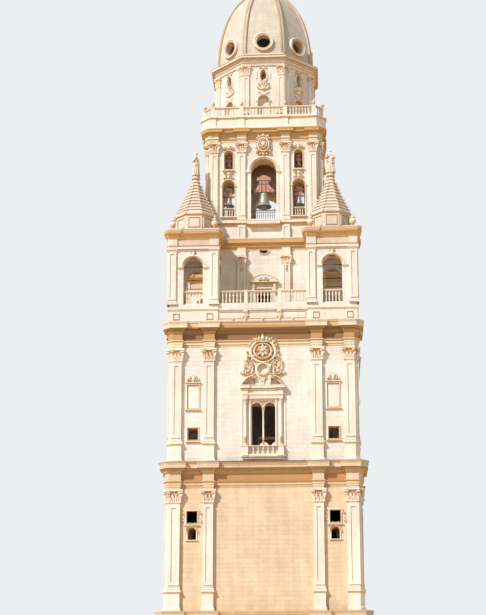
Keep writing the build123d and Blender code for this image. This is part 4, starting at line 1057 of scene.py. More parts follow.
def ledge(x0, x1, z0, z1, y_wall, reach):
    """A small moulded shelf against a wall."""
    h = z1 - z0
    return block_on(y_wall, x0, x1, reach, [(-0.6 * reach, z0)] + cyma(
        (-0.5 * reach, z0 + 0.1 * h), (-0.1 * reach, z0 + 0.6 * h)) + [(0, z0 + 0.62 * h), (0, z1)])


def crest(width, height, rise):
    """A leafy crest: a middle shell between two pairs of scrolls."""
    w, h = width / 2, height
    parts = [oval(0, 0.45 * h, 0.24 * w, 0.4 * h, rise),
             leaf(0, 0.62 * h, 0.38 * h, 0.26 * w, math.pi / 2, rise),
             slab(-0.95 * w, 0.95 * w, 0.01 * h, 0.13 * h, 0.6 * rise)]
    parts += pairs(scroll, (0.48 * w, 0.34 * h, 0.3 * w, -1, 2.4, 0.2, 0.8 * rise),
                   (0.8 * w, 0.2 * h, 0.18 * w, 1, 1.0, 0.22, 0.7 * rise))
    parts += pairs(leaf, (0.1 * w, 0.5 * h, 0.42 * h, 0.3 * w, 1.0, 0.9 * rise),
                   (0.4 * w, 0.45 * h, 0.36 * h, 0.26 * w, 1.25, 0.8 * rise))
    return relief(width, h, h / 22, parts)


def bars(x0, x1, z0, z1, y, across, up, thickness):
    """A grille of upright and level bars."""
    xs = np.linspace(x0, x1, across + 2)[1:-1]
    zs = np.linspace(z0, z1, up + 2)[1:-1]
    return join([boxes(spread(xs, y, (z0 + z1) / 2), (thickness, thickness, z1 - z0)),
                 boxes(spread((x0 + x1) / 2, y + thickness, zs), (x1 - x0, thickness, thickness))])


def side_bays():
    """Window frames, grilles, blank tablets and crests of the side bays of the lower storeys."""
    stone_parts, iron_parts = [], []
    for name, level, _ in LOWER_STOREYS:
        wall = -STAGE_HALF[name]
        upper = name == "stage3"
        sill = level + (0.235 if upper else 0.855)
        pieces = [frame_on(wall, -0.048, 0.048, sill, sill + 0.112, 0.018, 0.014),
                  ledge(-0.076, 0.076, sill - 0.034, sill - 0.018, wall, 0.02)]
        iron = bars(-0.048, 0.048, sill, sill + 0.112, wall + 0.03, 3, 3, sizes().grille_bar)
        if upper:
            pieces += [frame_on(wall, -0.0545, 0.0545, level + 0.554, level + 0.785, 0.017, 0.014),
                       ledge(-0.082, 0.082, level + 0.524, level + 0.538, wall, 0.019),
                       ledge(-0.08, 0.08, level + 0.802, level + 0.816, wall, 0.022),
                       carving_on(wall, crest(150, 85, 26), 0, level + 0.812)]
        else:
            scrolls = pairs(scroll, (88, 130, 24, 1, 2.0, 0.2, 13), (90, 55, 20, 1, -1.5, 0.2, 12),
                            (30, 20, 16, -1, 0.5, 0.22, 9))
            scrolls += pairs(leaf, (85, 70, 50, 20, 1.6, 10))
            pieces += [carving_on(wall, relief(240, 170, 4.5, scrolls), 0, sill - 0.035),
                       arch_on(wall, 0.04, level + 0.77, level + 0.69, 0.013, 0.012),
                       arch_on(wall, 0.052, level + 0.775, level + 0.76, 0.01, 0.02, 15),
                       ledge(-0.062, 0.062, level + 0.674, level + 0.69, wall, 0.016)]
        bay = join(pieces)
        stone_parts += [moved(bay, x) for x in (BAY_CENTRE, -BAY_CENTRE)]
        iron_parts += [moved(iron, x) for x in (BAY_CENTRE, -BAY_CENTRE)]
    piece("side_bay_frames", around(join(stone_parts)),
          replaced=["stage3_window_frames", "lower_window_frames"], angle=30)
    piece("window_grilles", around(join(iron_parts)), "Forged iron")
    wall = -STAGE_HALF["stage1"]
    keystone = block_on(wall, -0.022, 0.022, 0.034, [(-0.006, 0.43), (0.004, 0.5)])
    piece("doorway_moulding", join([arch_on(wall, 0.11, 0.33, 0.0, 0.036, 0.024), keystone]), angle=30)


def baluster(height, width):
    """A turned baluster with two bulbs and a middle ring."""
    shares = [(0.95, 0.0), (0.95, 0.06), (0.5, 0.1), (0.95, 0.27), (0.45, 0.45), (0.62, 0.5), (0.45, 0.55),
              (0.95, 0.76), (0.5, 0.9), (0.95, 0.94), (0.95, 1.0)]
    return lathed([(0.5 * width * a, height * b) for a, b in shares], 6)


def balustrade(x0, x1, z0, height, y, width=None, spacing=None, rail=0.018):
    """Rails and turned balusters between two pedestals."""
    width = width or sizes().baluster_width
    spacing = spacing or sizes().baluster_spacing
    count = max(1, round((x1 - x0) / spacing) - 1)
    xs = x0 + (np.arange(count) + 1) * (x1 - x0) / (count + 1)
    posts = copies(baluster(height - 2 * rail, width), spread(xs, y, z0 + rail))
    plan = rectangle(x0 - 0.001, x1 + 0.001, y - 0.012, y + 0.012)
    foot = stack(plan, [(0.002, z0), (0.002, z0 + 0.6 * rail), (-0.002, z0 + rail)])
    head = stack(plan, [(out, z0 + height - share * rail) for out, share in (
        (-0.003, 1), (0, 0.7), (0.003, 0.5), (0.003, 0.15), (0, 0))])
    return join([posts, foot, head])


def pedestal(x, y, z0, height, half):
    """A square balustrade pedestal with a moulded foot and cap."""
    plan = rectangle(x - half + 0.003, x + half - 0.003, y - half + 0.003, y + half - 0.003)
    return stack(plan, pedestal_profile(z0, z0 + height, 0.0045))


def circle(x, z, a, b=None, count=28):
    """Points of a circle or an ellipse, anticlockwise."""
    return np.stack([x + a * np.cos(angles(count)), z + (b or a) * np.sin(angles(count))], -1)


def frame_on(y, x0, x1, z0, z1, width, height):
    """A moulded frame round a rectangle on a front face at y."""
    return upright(moulding(rectangle(x0, x1, z0, z1), frame_profile(width, height)), y)


def ring_on(y, z, a, b, width, height):
    """A moulded frame round an oval whose middle is at height z on a front face."""
    return upright(moulding(circle(0, z, a, b), frame_profile(width, height)), y)


def arch_on(y, half, springing, foot, width, height, steps=17):
    """A moulded frame round the edge of a round-headed opening in a front face."""
    return upright(open_moulding(arch_path(half, springing, foot, steps), frame_profile(width, height)), y)


def carving_on(y, shape, x, z, scale=1.0):
    """Carving drawn flat, set on a front face with the middle of its foot at x and z."""
    return upright(moved(shape, x, z, scale=scale), y)


def pierced(half_width, low_z, high_z, z, radius, depth):
    """A rectangular plate, flat on the sheet, with a round hole: both edges are sampled by angle."""
    turn = angles(32) + 1e-4
    c, s = np.cos(turn), np.sin(turn)
    up = np.where(s > 0, high_z - z, z - low_z)
    far = np.minimum(half_width / np.maximum(np.abs(c), 1e-6), up / np.maximum(np.abs(s), 1e-6))
    edges = (far, -GRIP), (far, depth), (radius, depth), (radius, -GRIP)
    return looped(np.stack([spread(reach * c, z + reach * s, height) for reach, height in edges]))


def column(x, y, z0, z1, radius):
    """A round column with a moulded base, a slightly swelling shaft and a leafy capital."""
    h = z1 - z0
    cap = 0.11 * h
    profile = ([(1.5 * radius, z0), (1.5 * radius, z0 + 0.02 * h)]
               + torus(1.1 * radius, z0 + 0.02 * h, z0 + 0.045 * h, 0.3 * radius)
               + [(radius, z0 + 0.06 * h), (0.99 * radius, z0 + 0.4 * h),
                  (0.86 * radius, z1 - cap - 0.02 * h)]
               + torus(0.86 * radius, z1 - cap - 0.015 * h, z1 - cap, 0.2 * radius, 4)
               + [(0.8 * radius, z1)])
    head = capital(circle(0, 0, 0.86 * radius, count=12), cap - 0.012 * h, 0.62 * radius, 0.9 * radius, 0.004)
    plate = boxes([(0, 0, 0.5 * 0.014 * h)], [(3.1 * radius, 3.1 * radius, 0.014 * h)])
    return join([moved(lathed(profile, 14), x, y), moved(head, x, y, z1 - cap),
                 moved(plate, x, y, z1 - 0.014 * h)])


def large_windows():
    """The two-light windows: tracery, columns, small balustrade, broken pediment, oculus and cartouche."""
    wall = -STAGE_HALF["stage3"]
    level = THIRD_FLOOR
    radius, gap = 0.053, 0.027
    middle = gap / 2 + radius
    sill, springing = level + 0.165, level + 0.547
    right = np.linspace(gap / 2, gap / 2 + 2 * radius, 15)
    u = np.concatenate([-right[::-1], right])
    foot = springing + np.sqrt(np.clip(radius ** 2 - (np.abs(u) - middle) ** 2, 0, None))
    top = level + 0.616
    section = (foot, 0.04), (foot, 0.002), (top, 0.002), (top, 0.04)
    parts = [closed(np.stack([spread(u, wall + back, z) for z, back in section], 1)),
             column(0, wall + 0.016, sill - 0.004, springing + 0.004, 0.0095)]
    parts += [moved(arch_on(wall + 0.002, radius, springing, springing, 0.0128, 0.012, 13), side * middle)
              for side in (-1, 1)]
    piece("two_light_tracery", around(join(parts)), replaced=["two_light_windows"], angle=35)

    base = level + 0.64
    crown = base + 0.135
    eye, back = crown + 0.165, crown + 0.305
    strips = [block(x0, x1, wall - out, wall + GRIP, sill, base)
              for x0, x1, out in ((0.1195, 0.137, 0.012), (0.157, 0.193, 0.012), (0.205, 0.221, 0.01))]
    strips += [block(0.1255, 0.131, wall - 0.016, wall, sill + 0.01, base - 0.01),
               column(0.175, wall - 0.0205, sill, base + 0.002, 0.0135),
               block_on(wall, 0.151, 0.199, 0.042, pedestal_profile(level + 0.062, sill, 0.006))]
    profile = entablature_profile(base, crown - base, 0.028)
    t = np.linspace(0, 1, 15)
    bend = np.stack([-0.226 + 0.128 * t, crown - 0.004 + 0.104 * np.sin(math.pi / 2 * t ** 0.8)], -1)
    gable = [(-34, -3), (0, -3), (0, 46), (-6, 56), (-11, 58), (-15, 44), (-24, 40), (-28, 32), (-34, 30)]
    curls = pairs(scroll, (86, 52, 30, -1, 1.3, 0.24, 12, 46))
    surround = [
        both(join(strips)),
        balustrade(-0.146, 0.146, level + 0.068, sill - level - 0.068, wall - 0.02, 0.022, 0.045, 0.014),
        block_on(wall, -0.205, 0.205, 0.03, at(level, [(-2, 30), (2, 45), (12, 52), (12, 64)])),
        block_on(wall, -0.2, 0.2, 0.024, profile),
        both(block_on(wall, 0.154, 0.196, 0.036, profile)),
        dentils(rectangle(-0.2, 0.2, wall - 0.024, wall + 0.2), 0.008, base + 0.086, 0.009, 0.006, 0.014),
        both(upright(open_moulding(bend, at(0, gable)), wall)),
        carving_on(wall, relief(300, 90, 4.5, curls), 0, crown + 0.03),
        upright(pierced(0.078, crown - 0.003, back, eye, 0.046, 0.02), wall),
        ring_on(wall - 0.018, eye, 0.046, 0.046, 0.027, 0.02),
        both(frame_on(wall - 0.01, 0.07, 0.088, crown + 0.01, back - 0.02, 0.003, 0.01)),
        block_on(wall, -0.088, 0.088, 0.028, at(back, [(-8, -22), (-4, -12), (6, -8), (6, 4)]))]
    bracket = [oval(0, 15, 18, 22, 16), slab(-22, 22, 30, 85, 20, 12)]
    bracket += pairs(leaf, (4, 10, 80, 30, 1.35, 22))
    bracket += pairs(scroll, (36, 70, 17, 1, 1.2, 0.24, 14))
    surround.append(carving_on(wall - 0.018, relief(120, 100, 4, bracket), 0, crown - 0.002))
    leaves = pairs(scroll, (150, 62, 50, 1, 2.6, 0.2, 30), (112, 140, 34, -1, -0.6, 0.22, 28),
                   (168, 150, 30, -1, 1.0, 0.24, 24), (124, 30, 26, 1, 0.6, 0.24, 26))
    leaves += pairs(leaf, (140, 90, 100, 50, 0.95, 30), (100, 90, 110, 45, 1.5, 32),
                    (165, 30, 70, 40, 0.35, 24), (155, 60, 100, 40, 2.2, 28), (175, 90, 60, 35, 1.2, 26),
                    (90, 30, 70, 35, 1.1, 28), (120, 165, 50, 34, 0.3, 26), (205, 105, 55, 34, 2.3, 26),
                    (190, 60, 55, 34, 1.6, 26), (150, 115, 60, 34, 1.2, 32), (135, 30, 60, 34, 0.2, 26))
    leaves += pairs(oval, (150, 62, 18, 18, 36))
    surround.append(carving_on(wall, relief(500, 215, 5, leaves), 0, crown + 0.085))
    shield = [oval(0, 115, 98, 88, 46), oval_ring(0, 115, 112, 100, 15, 34),
              oval_ring(0, 115, 78, 70, 8, 18, 34), oval(0, 118, 20, 20, 26, 40),
              *(leaf(0, 118, 64, 34, turn * EIGHTH, 24, 38) for turn in range(8)),
              leaf(0, 55, 55, 50, -math.pi / 2, 30), slab(-62, 62, 196, 212, 52),
              oval(0, 238, 20, 32, 50), oval(0, 272, 10, 10, 34)]
    shield += pairs(oval, (35, 232, 15, 28, 46), (62, 226, 12, 24, 40))
    shield += pairs(scroll, (112, 175, 30, 1, 1.8, 0.24, 34), (118, 75, 34, 1, -1.2, 0.22, 30),
                    (55, 35, 26, -1, -2.2, 0.24, 32))
    shield += pairs(leaf, (95, 145, 60, 36, 0.9, 36), (100, 90, 60, 34, -0.5, 34),
                    (60, 175, 85, 45, 0.75, 36), (85, 110, 75, 40, 0.1, 34), (55, 70, 75, 40, -0.6, 34),
                    (50, 200, 70, 34, 0.9, 30))
    surround.append(carving_on(wall, relief(305, 285, 4.2, shield), 0, level + 0.996, 1.1))
    piece("window_surround_carving", around(join(surround)), replaced=["window_surrounds"], angle=40)


def terrace_dressing():
    """Parapet mouldings, panels, pendants and spouts, and the terrace balustrade."""
    front, corner = -0.935, -0.95
    foot, top = LOWER_STOREYS[2][2], TERRACE_TOP
    mould = []
    for z0, z1, reach in ((foot, foot + 0.022, 0.01), (top - 0.064, top - 0.042, 0.014)):
        mould += [ledge(-0.452, 0.452, z0, z1, front, reach),
                  both(ledge(0.445, 0.962, z0, z1, corner, min(reach, 0.011)))]
    mould += [frame_on(front, x0, x1, foot + 0.045, top - 0.085, 0.008, 0.006)
              for x0, x1 in ((-0.43, -0.2), (-0.14, 0.14), (0.2, 0.43))]
    mould += [both(frame_on(corner, x - 0.025, x + 0.025, foot + 0.04, foot + 0.09, 0.01, 0.01))
              for x in (0.535, 0.875)]
    drop = [oval(0, 108, 24, 20, 20), leaf(0, 100, 85, 45, -math.pi / 2, 22), oval(0, 12, 9, 11, 14)]
    drop += pairs(scroll, (20, 95, 17, 1, 1.2, 0.26, 16))
    drop += pairs(leaf, (6, 90, 50, 28, -1.1, 16))
    mould.append(both(carving_on(front, relief(90, 130, 4, drop), 0.17, foot + 0.01)))
    spout = laid(lathed(at(0, [(6, 0), (9, 4), (9, 16), (7, 20), (7, 28)]), 8))
    mould += [moved(mirrored(spout), x, front + 0.006, foot + 0.032) for x in (-0.3, 0.0, 0.3)]
    piece("terrace_mouldings", around(join(mould)), angle=35)

    y = front + 0.019
    rails = [balustrade(-0.152, 0.152, top, 0.15, y), both(pedestal(0.17, y, top, 0.152, 0.019)),
             both(balustrade(0.188, 0.44, top, 0.15, y))]
    piece("turned_terrace_balustrades", around(join(rails)), replaced=["terrace_balustrades"], angle=40)


def of_pavilions(shape):
    """Copies of a shape drawn about one pavilion's middle, for all four."""
    return around(moved(shape, PAVILION_CENTRE, -PAVILION_CENTRE))


def spire_profile(base):
    """The apothem of a spire at each course: it falls as a power of the height left, with a drip each."""
    s = sizes()
    count, rise, foot, tip = s.spire_courses, s.spire_rise, s.spire_foot, s.spire_tip
    step = rise / count
    profile = []
    for k in range(count):
        z = base + step * k
        here, above = (tip + (foot - tip) * (1 - n / count) ** 1.2 for n in (k, k + 1))
        profile += [(here + 0.007, z), (here + 0.009, z + 0.04 * step), (here + 0.008, z + 0.24 * step),
                    (here + 0.001, z + 0.34 * step), (above - 0.002, z + 0.97 * step)]
    return profile + [(tip, base + rise)]


def pavilions():
    """Pilasters, archivolts, tie rods and cornices of the four pavilions, and their stepped crowns."""
    half = PAVILION_HALF
    out = half + 0.012
    foot = TERRACE_TOP
    springing = foot + 0.405
    top = foot + 0.74
    bracket = [slab(-20, 20, 10, 75, 24, 10), leaf(0, 70, 60, 36, -math.pi / 2, 26)]
    bracket += pairs(scroll, (16, 60, 14, 1, 1.2, 0.28, 24))
    corner = rectangle(half - 0.078, out, -out, 0.078 - half)
    front = [both(panelled(out - 0.084, out - 0.006, foot + 0.05, top - 0.185, -out, 0.042, 0.007)),
             both(ledge(0.099, 0.161, springing - 0.026, springing, -half, 0.016)),
             arch_on(-half, 0.099, springing, springing, 0.034, 0.015),
             carving_on(-half, relief(70, 85, 4, bracket), 0, springing + 0.088),
             stack(corner, base_profile(foot, foot + 0.032, 0.008)),
             stack(corner, at(top, [(0, -180), *cyma((1, -176), (9, -158), 4), (11, -156), (11, -148)]))]
    piece("pavilion_carving", of_pavilions(around(join(front))), angle=35)
    rod = boxes([(0, -half + 0.03, springing + 0.004)], [(0.2, 0.007, 0.007)])
    piece("tie_rods", of_pavilions(around(rod)), "Forged iron")

    band = [(-20, -151), (9.5, -151), (9.5, -125), *cyma((11, -123), (18, -116), 3), (4, -112), (2, -42),
            (5, -40), *cyma((6, -38), (20, -16)), (22, -14), (22, -4), *cyma((24, -2), (36, 10), 4),
            (41, 12), (41, 28), (43, 30), *cyma((43, 32), (50, 50), 4), (50, 58), (-20, 64)]
    crown = top + 0.06
    spire_foot = crown + 0.21
    tip = spire_foot + sizes().spire_rise
    steps = spire_profile(spire_foot)
    ridge = boxes([(0, -a / math.cos(EIGHTH / 2), z) for a, z in steps[1:-6:5]], (0.013, 0.016, 0.016))
    crowns = [moulding(broken_plan(half, 0.012, [], half - 0.08, 0.012), at(top, band)),
              stack(square_plan(half - GRIP), [(0, top + 0.02), (0, top + 0.0605)]),
              stack(octagon(0.2), at(crown, [(4, 0), (4, 22), (-4, 30), (-8, 34), (-8, 180), (-2, 188),
                                             (8, 196), (8, 210)])),
              around(frame_on(-0.192, -0.052, 0.052, crown + 0.06, crown + 0.155, 0.01, 0.008), 8),
              stack(octagon(0.2), [(a - 0.2, z) for a, z in steps]),
              stack(octagon(0.046), at(tip, [(-18, -4), (-10, 4), (-1, 6), (-1, 12), (-10, 18),
                                             (-14, 30), (-18, 46)])),
              turned(around(ridge, 8), EIGHTH / 2)]
    # The band round the crown's cornice mouldings is painted warm shade in gold
    piece("pavilion_crowns", of_pavilions(join(crowns)), "Spire stone",
          replaced=["pavilion_roofs"], angle=30, shadow_band=(top - 0.03, top + 0.031), shadow_and_soot=GOLD_SHADE)

    row = moved(balustrade(-0.099, 0.099, foot, 0.15, 0.035 - half), PAVILION_CENTRE, -PAVILION_CENTRE)
    piece("turned_pavilion_balustrades", around(both(row)), replaced=["pavilion_balustrades"], angle=40)

    shares = [(0.8, 0), (0.8, 0.1), (0.5, 0.13), (0.3, 0.18), (0.34, 0.21), (0.7, 0.28), (0.98, 0.4),
              (1, 0.48), (0.86, 0.58), (0.62, 0.63), (0.84, 0.66), (0.84, 0.69), (0.5, 0.72), (0.42, 0.78),
              (0.16, 0.85), (0.26, 0.91), (0.2, 0.97), (0.04, 1)]
    urn = lathed([(0.034 * a, 0.17 * b) for a, b in shares], 14)
    reach = out - 0.042
    three = copies(urn, [(reach, -reach, crown), (reach, reach, crown), (-reach, -reach, crown)])
    piece("turned_urns", of_pavilions(three), replaced=["urns"], angle=50)


def figure(height):
    """A draped standing figure: rings swell and narrow up the body, with folds as waves round each ring."""
    z = np.linspace(0, 1, 40)[:, None]
    turn = angles(48)
    width = np.interp(z, [0, 0.06, 0.3, 0.52, 0.62, 0.74, 0.8, 0.835, 0.86],
                      [0.175, 0.165, 0.145, 0.115, 0.125, 0.15, 0.135, 0.05, 0.04])
    depth = np.interp(z, [0, 0.3, 0.55, 0.72, 0.8, 0.835, 0.86],
                      [0.15, 0.12, 0.095, 0.105, 0.085, 0.045, 0.038])
    fade = np.clip((0.8 - z) / 0.5, 0, 1)
    folds = 1 + fade * (0.1 * np.cos(11 * turn + 3 * z) + 0.05 * np.cos(17 * turn - 7 * z))
    sash = 0.03 * np.exp(-((z - 0.56 + 0.1 * np.cos(turn + 0.6)) / 0.035) ** 2)
    body = closed(spread((width * folds + sash) * np.cos(turn) + 0.02 * np.sin(3 * z),
                         (depth * folds + sash) * np.sin(turn), 0.86 * z))
    v = np.linspace(-1, 1, 17)[:, None]
    front = turn - 1.5 * math.pi
    nose = 0.1 * np.exp(-(front / 0.28) ** 2 - ((v + 0.05) / 0.22) ** 2)
    eyes = 0.05 * np.exp(-((np.abs(front) - 0.42) / 0.16) ** 2 - ((v - 0.18) / 0.13) ** 2)
    hair = 0.1 * np.clip(v + 0.1, 0, 1) + 0.08 * (1 - np.exp(-(front / 1.1) ** 2))
    reach = 0.052 * np.sqrt(np.clip(1 - v ** 2, 0, 1)) * (1 + nose - eyes + hair)
    head = closed(spread(0.9 * reach * np.cos(turn), reach * np.sin(turn) - 0.004, 0.915 + 0.078 * v))
    right = [(0.12, 0, 0.76), (0.165, -0.02, 0.66), (0.15, -0.09, 0.57), (0.06, -0.13, 0.6)]
    left = [(-0.12, 0, 0.76), (-0.175, -0.03, 0.64), (-0.13, -0.1, 0.63), (-0.03, -0.12, 0.68)]
    mantle = [(-0.13, 0.03, 0.77), (-0.16, 0.05, 0.55), (-0.15, 0.06, 0.3), (-0.13, 0.05, 0.05)]
    limbs = [tube(right, [0.045, 0.042, 0.034, 0.024], 8), tube(left, [0.045, 0.04, 0.032, 0.022], 8),
             tube(mantle, [0.05, 0.06, 0.06, 0.05], 8)]
    return moved(join([body, head] + limbs), scale=height)


def statues():
    """The four standing figures on the spires."""
    height = sizes().statue_height
    one = moved(figure(height), PAVILION_CENTRE, -PAVILION_CENTRE, high("statues")[2] - height)
    piece("draped_statues", around(one), replaced=["statues"], angle=60)


def swag(width, drop, rise):
    """A hanging garland: knots of fruit along a sagging line, held up by a rosette at each end."""
    beads = [oval(0.4 * width * a, (0.18 + 0.62 * a * a) * drop, 0.09 * width, 0.2 * drop, rise)
             for a in np.linspace(-1, 1, 7)]
    ends = pairs(oval, (0.42 * width, 0.82 * drop, 0.06 * width, 0.14 * drop, rise))
    return relief(width, drop, drop / 16, beads + ends)


def leaf_drop(width, height, rise):
    """A hanging bunch: a rosette with leaves that narrow to a bud."""
    w, h = width, height
    return relief(w, h, h / 24, [
        oval(0, 0.88 * h, 0.3 * w, 0.1 * h, rise), leaf(0, 0.95 * h, 0.8 * h, 0.5 * w, -math.pi / 2, rise),
        oval(0, 0.07 * h, 0.12 * w, 0.06 * h, 0.6 * rise),
        *pairs(leaf, (0.05 * w, 0.85 * h, 0.4 * h, 0.4 * w, -1.1, 0.8 * rise),
               (0.03 * w, 0.5 * h, 0.3 * h, 0.3 * w, -1.2, 0.7 * rise))])


def core():
    """The core behind the pavilions: pilasters, door pediment, oval light, cornice and balcony slabs."""
    wall = -CORE_HALF
    out = CORE_PROJECTION
    face = wall - out
    foot = TERRACE_TOP
    cornice = foot + 0.73
    floor_foot = low("belfry_floor")[2]
    x0, x1 = CORE_PILASTER_CENTRE - CORE_PILASTER_HALF, CORE_PILASTER_CENTRE + CORE_PILASTER_HALF
    shaft = rectangle(x0, x1, face, wall + GRIP)
    necking = [(0, foot + 0.62), (0.003, foot + 0.63), (-0.004, foot + 0.636), (-0.004, cornice - 0.02),
               (0.004, cornice)]
    right = [stack(shaft, base_profile(foot, foot + 0.045, 0.01)),
             panelled(x0, x1, foot + 0.055, foot + 0.535, face, 0.044, 0.006),
             moved(capital(shaft, 0.072, 0.02, 0.03), z=foot + 0.548),
             stack(shaft, torus(0.001, foot + 0.538, foot + 0.548, 0.005)),
             block_on(wall, x0 - 0.008, x1 + 0.008, out + 0.01, necking),
             carving_on(face, leaf_drop(50, 100, 18), CORE_PILASTER_CENTRE, foot + 0.455),
             panelled(x0, x1, cornice + 0.088, 5.59, face, 0.044, 0.006)]
    t = np.linspace(-1, 1, 15)
    bow = np.stack([0.143 * t, foot + 0.364 + 0.054 * (1 - t * t)], -1)
    gable = [(-20, -3), (3, -3), (3, 50), (-4, 52), (-10, 47), (-20, 46.5)]
    slab_edge = [(-30, -22), (-26, -14), *cyma((-20, -10), (-1, 8), 4), (2, 10), (2, 30), (6, 34), (6, 48),
                 (1, 51)]
    middle = [frame_on(wall, -0.075, 0.075, foot - 0.03, foot + 0.26, 0.026, 0.016),
              ledge(-0.147, 0.147, foot + 0.322, foot + 0.3412, wall, 0.047),
              both(block_on(wall, 0.096, 0.12, 0.03, at(foot, [(-6, 220), (-2, 250), (0, 325)]))),
              ring_on(wall, foot + 0.685, 0.0435, 0.025, 0.016, 0.012),
              upright(open_moulding(bow, at(0, gable)), wall),
              carving_on(wall - 0.045, crest(120, 50, 14), 0, foot + 0.343),
              stack(rectangle(-0.17, 0.17, wall - 0.06, wall + 0.02), at(floor_foot, slab_edge))]
    profile = [(-10, -34), (4, -34), (4, -22), (10, -18), *cyma((12, -14), (27, -2), 4), (28, 22), (34, 26),
               (44, 32), (52, 34), (52, 60), *cyma((53, 62), (60, 78), 4), (60, 83), (-10, 88)]
    string = [(-10, -4), (8, 0), *cyma((10, 4), (28, 22), 4), (30, 24), (30, 44), (-10, 52)]
    plan = square_plan(CORE_HALF, CORE_CHAMFER)
    carving = [around(join([both(join(right))] + middle)), moulding(plan, at(cornice, profile)),
               moulding(plan, at(floor_foot, string))]
    # The band round the cornice is painted warm shade in gold
    piece("core_carving", join(carving), angle=35,
          shadow_band=(cornice - 0.018, cornice + 0.062), shadow_and_soot=GOLD_SHADE)


def belfry():
    """The bell chamber's pilasters, entablature, archivolts, window ornaments, cartouche and balustrades."""
    wall = -CORE_HALF
    foot = BELFRY_FLOOR
    base = foot + 0.88
    depth = 0.006
    y = depth - CORE_HALF - CORE_PROJECTION
    spans = [(side * centre - half, side * centre + half)
             for centre, half in ((CORE_PILASTER_CENTRE, CORE_PILASTER_HALF),
                                  (OUTER_PILASTER_CENTRE, OUTER_PILASTER_HALF)) for side in (-1, 1)]
    front = order([rectangle(x0, x1, y, wall + GRIP) for x0, x1 in spans], [(x0, x1, y) for x0, x1 in spans],
                  foot, foot, foot + 0.045, base - 0.11, base, 0.012, 0.029, 0.026, depth)
    piece("belfry_carved_order", around(front), replaced=["belfry_pilasters"], angle=35)
    plan = broken_plan(CORE_HALF, CORE_PROJECTION,
                       [(CORE_PILASTER_CENTRE, CORE_PILASTER_HALF + UPPER_MARGIN)],
                       OUTER_PILASTER_CENTRE - OUTER_PILASTER_HALF - UPPER_MARGIN, CORE_CHAMFER)
    # The band round the corona and its bed moulding is painted warm shade in gold
    piece("belfry_moulded_entablature",
          entablature(plan, base, 0.15, sizes().upper_cornice_reach, CORE_HALF - 0.155, 0.017),
          "Cornice stone", replaced=["belfry_entablature"], angle=30,
          shadow_band=(base + 0.105, base + 0.152), shadow_and_soot=GOLD_SHADE)

    springing = foot + 0.565
    shield = [oval(0, 125, 50, 62, 34), oval_ring(0, 125, 58, 74, 11, 28), oval(0, 232, 14, 20, 30),
              oval_ring(0, 125, 36, 46, 6, 14, 26), oval(0, 128, 22, 30, 12, 34),
              leaf(0, 205, 55, 40, math.pi / 2, 30), leaf(0, 55, 55, 30, -math.pi / 2, 24)]
    shield += pairs(oval, (22, 226, 10, 17, 26))
    shield += pairs(scroll, (50, 200, 18, 1, 1.8, 0.26, 26), (50, 55, 20, 1, -1.2, 0.24, 24),
                    (62, 125, 16, -1, 0.4, 0.26, 22))
    shield += pairs(leaf, (30, 200, 60, 30, 1.0, 26), (20, 50, 50, 24, -1.0, 20),
                    (45, 100, 60, 34, 0.5, 22), (48, 150, 50, 34, 0.2, 22), (40, 190, 50, 30, 0.4, 20),
                    (35, 65, 55, 30, -0.3, 20))
    middle = [arch_on(wall, 0.134, springing, springing, 0.04, 0.018, 25),
              both(ledge(0.134, 0.192, springing - 0.034, springing, wall, 0.018)),
              both(block(0.1345, 0.16, wall - 0.006, wall + 0.003, foot, springing - 0.034)),
              carving_on(wall, relief(160, 265, 4.2, shield, lift=16), 0, foot + 0.725)]
    lower_foot, lower_spring = foot + 0.05, foot + 0.4
    upper_foot = foot + 0.59
    t = np.linspace(1, -1, 9)
    curve = np.stack([0.042 * t, upper_foot + 0.205 - 0.025 * t * t], -1)
    outline = np.concatenate([[(-0.042, upper_foot), (0.042, upper_foot)], curve])
    bay = join([
        arch_on(wall, 0.062, lower_spring, lower_foot, 0.016, 0.012, 15),
        ledge(-0.088, 0.088, lower_foot - 0.022, lower_foot, wall, 0.022),
        both(ledge(0.062, 0.086, lower_spring - 0.018, lower_spring, wall, 0.016)),
        carving_on(wall, crest(120, 60, 22), 0, lower_spring + 0.07),
        frame_on(wall, -0.06, 0.06, foot + 0.004, lower_foot - 0.024, 0.004, 0.006),
        upright(moulding(outline, frame_profile(0.014, 0.012)), wall),
        ledge(-0.066, 0.066, upper_foot - 0.03, upper_foot - 0.013, wall, 0.02),
        carving_on(wall, crest(140, 60, 22), 0, upper_foot + 0.212),
        carving_on(wall, turned_down(crest(120, 45, 20), 0.045), 0, upper_foot - 0.076)])
    sides = [moved(bay, SIDE_BAY), moved(bay, -SIDE_BAY)]
    piece("belfry_arch_mouldings", around(join(middle + sides)), angle=35)

    row = balustrade(SIDE_BAY - 0.062, SIDE_BAY + 0.062, lower_foot, 0.105, wall + 0.023, 0.015, 0.026, 0.014)
    piece("turned_belfry_balustrades", around(both(row)), replaced=["belfry_balustrades"], angle=40)
    y = wall + 0.012
    width = 0.268
    count = sizes().railing_bars
    xs = (np.arange(count) + 1) * width / (count + 1) - width / 2
    stem = lathed(at(0, [(2.4, 4), (2.4, 55), (4.2, 60), (4.2, 66), (2.4, 71), (2.4, 121)]), 6)
    knob = lathed(at(0, [(1, 0), (5, 3), (5.5, 6), (1, 12)]), 6)
    railing = [copies(stem, spread(xs, y, foot)),
               boxes([(0, y, foot + 0.0035), (0, y, foot + 0.122), (0, y, foot + 0.1)],
                     [(width, 0.006, 0.005), (width, 0.009, 0.006), (width, 0.004, 0.003)]),
               copies(knob, spread(xs[[0, count // 2, -1]], y, foot + 0.125))]
    piece("forged_railings", around(join(railing)), "Forged iron", replaced=["belfry_railings"])


def turned_down(shape, height):
    """Finished carving turned upside down within its own height."""
    points = shape[0] * np.array([-1.0, -1.0, 1.0]) + np.array([0.0, height, 0.0])
    return points, shape[1], shape[2]


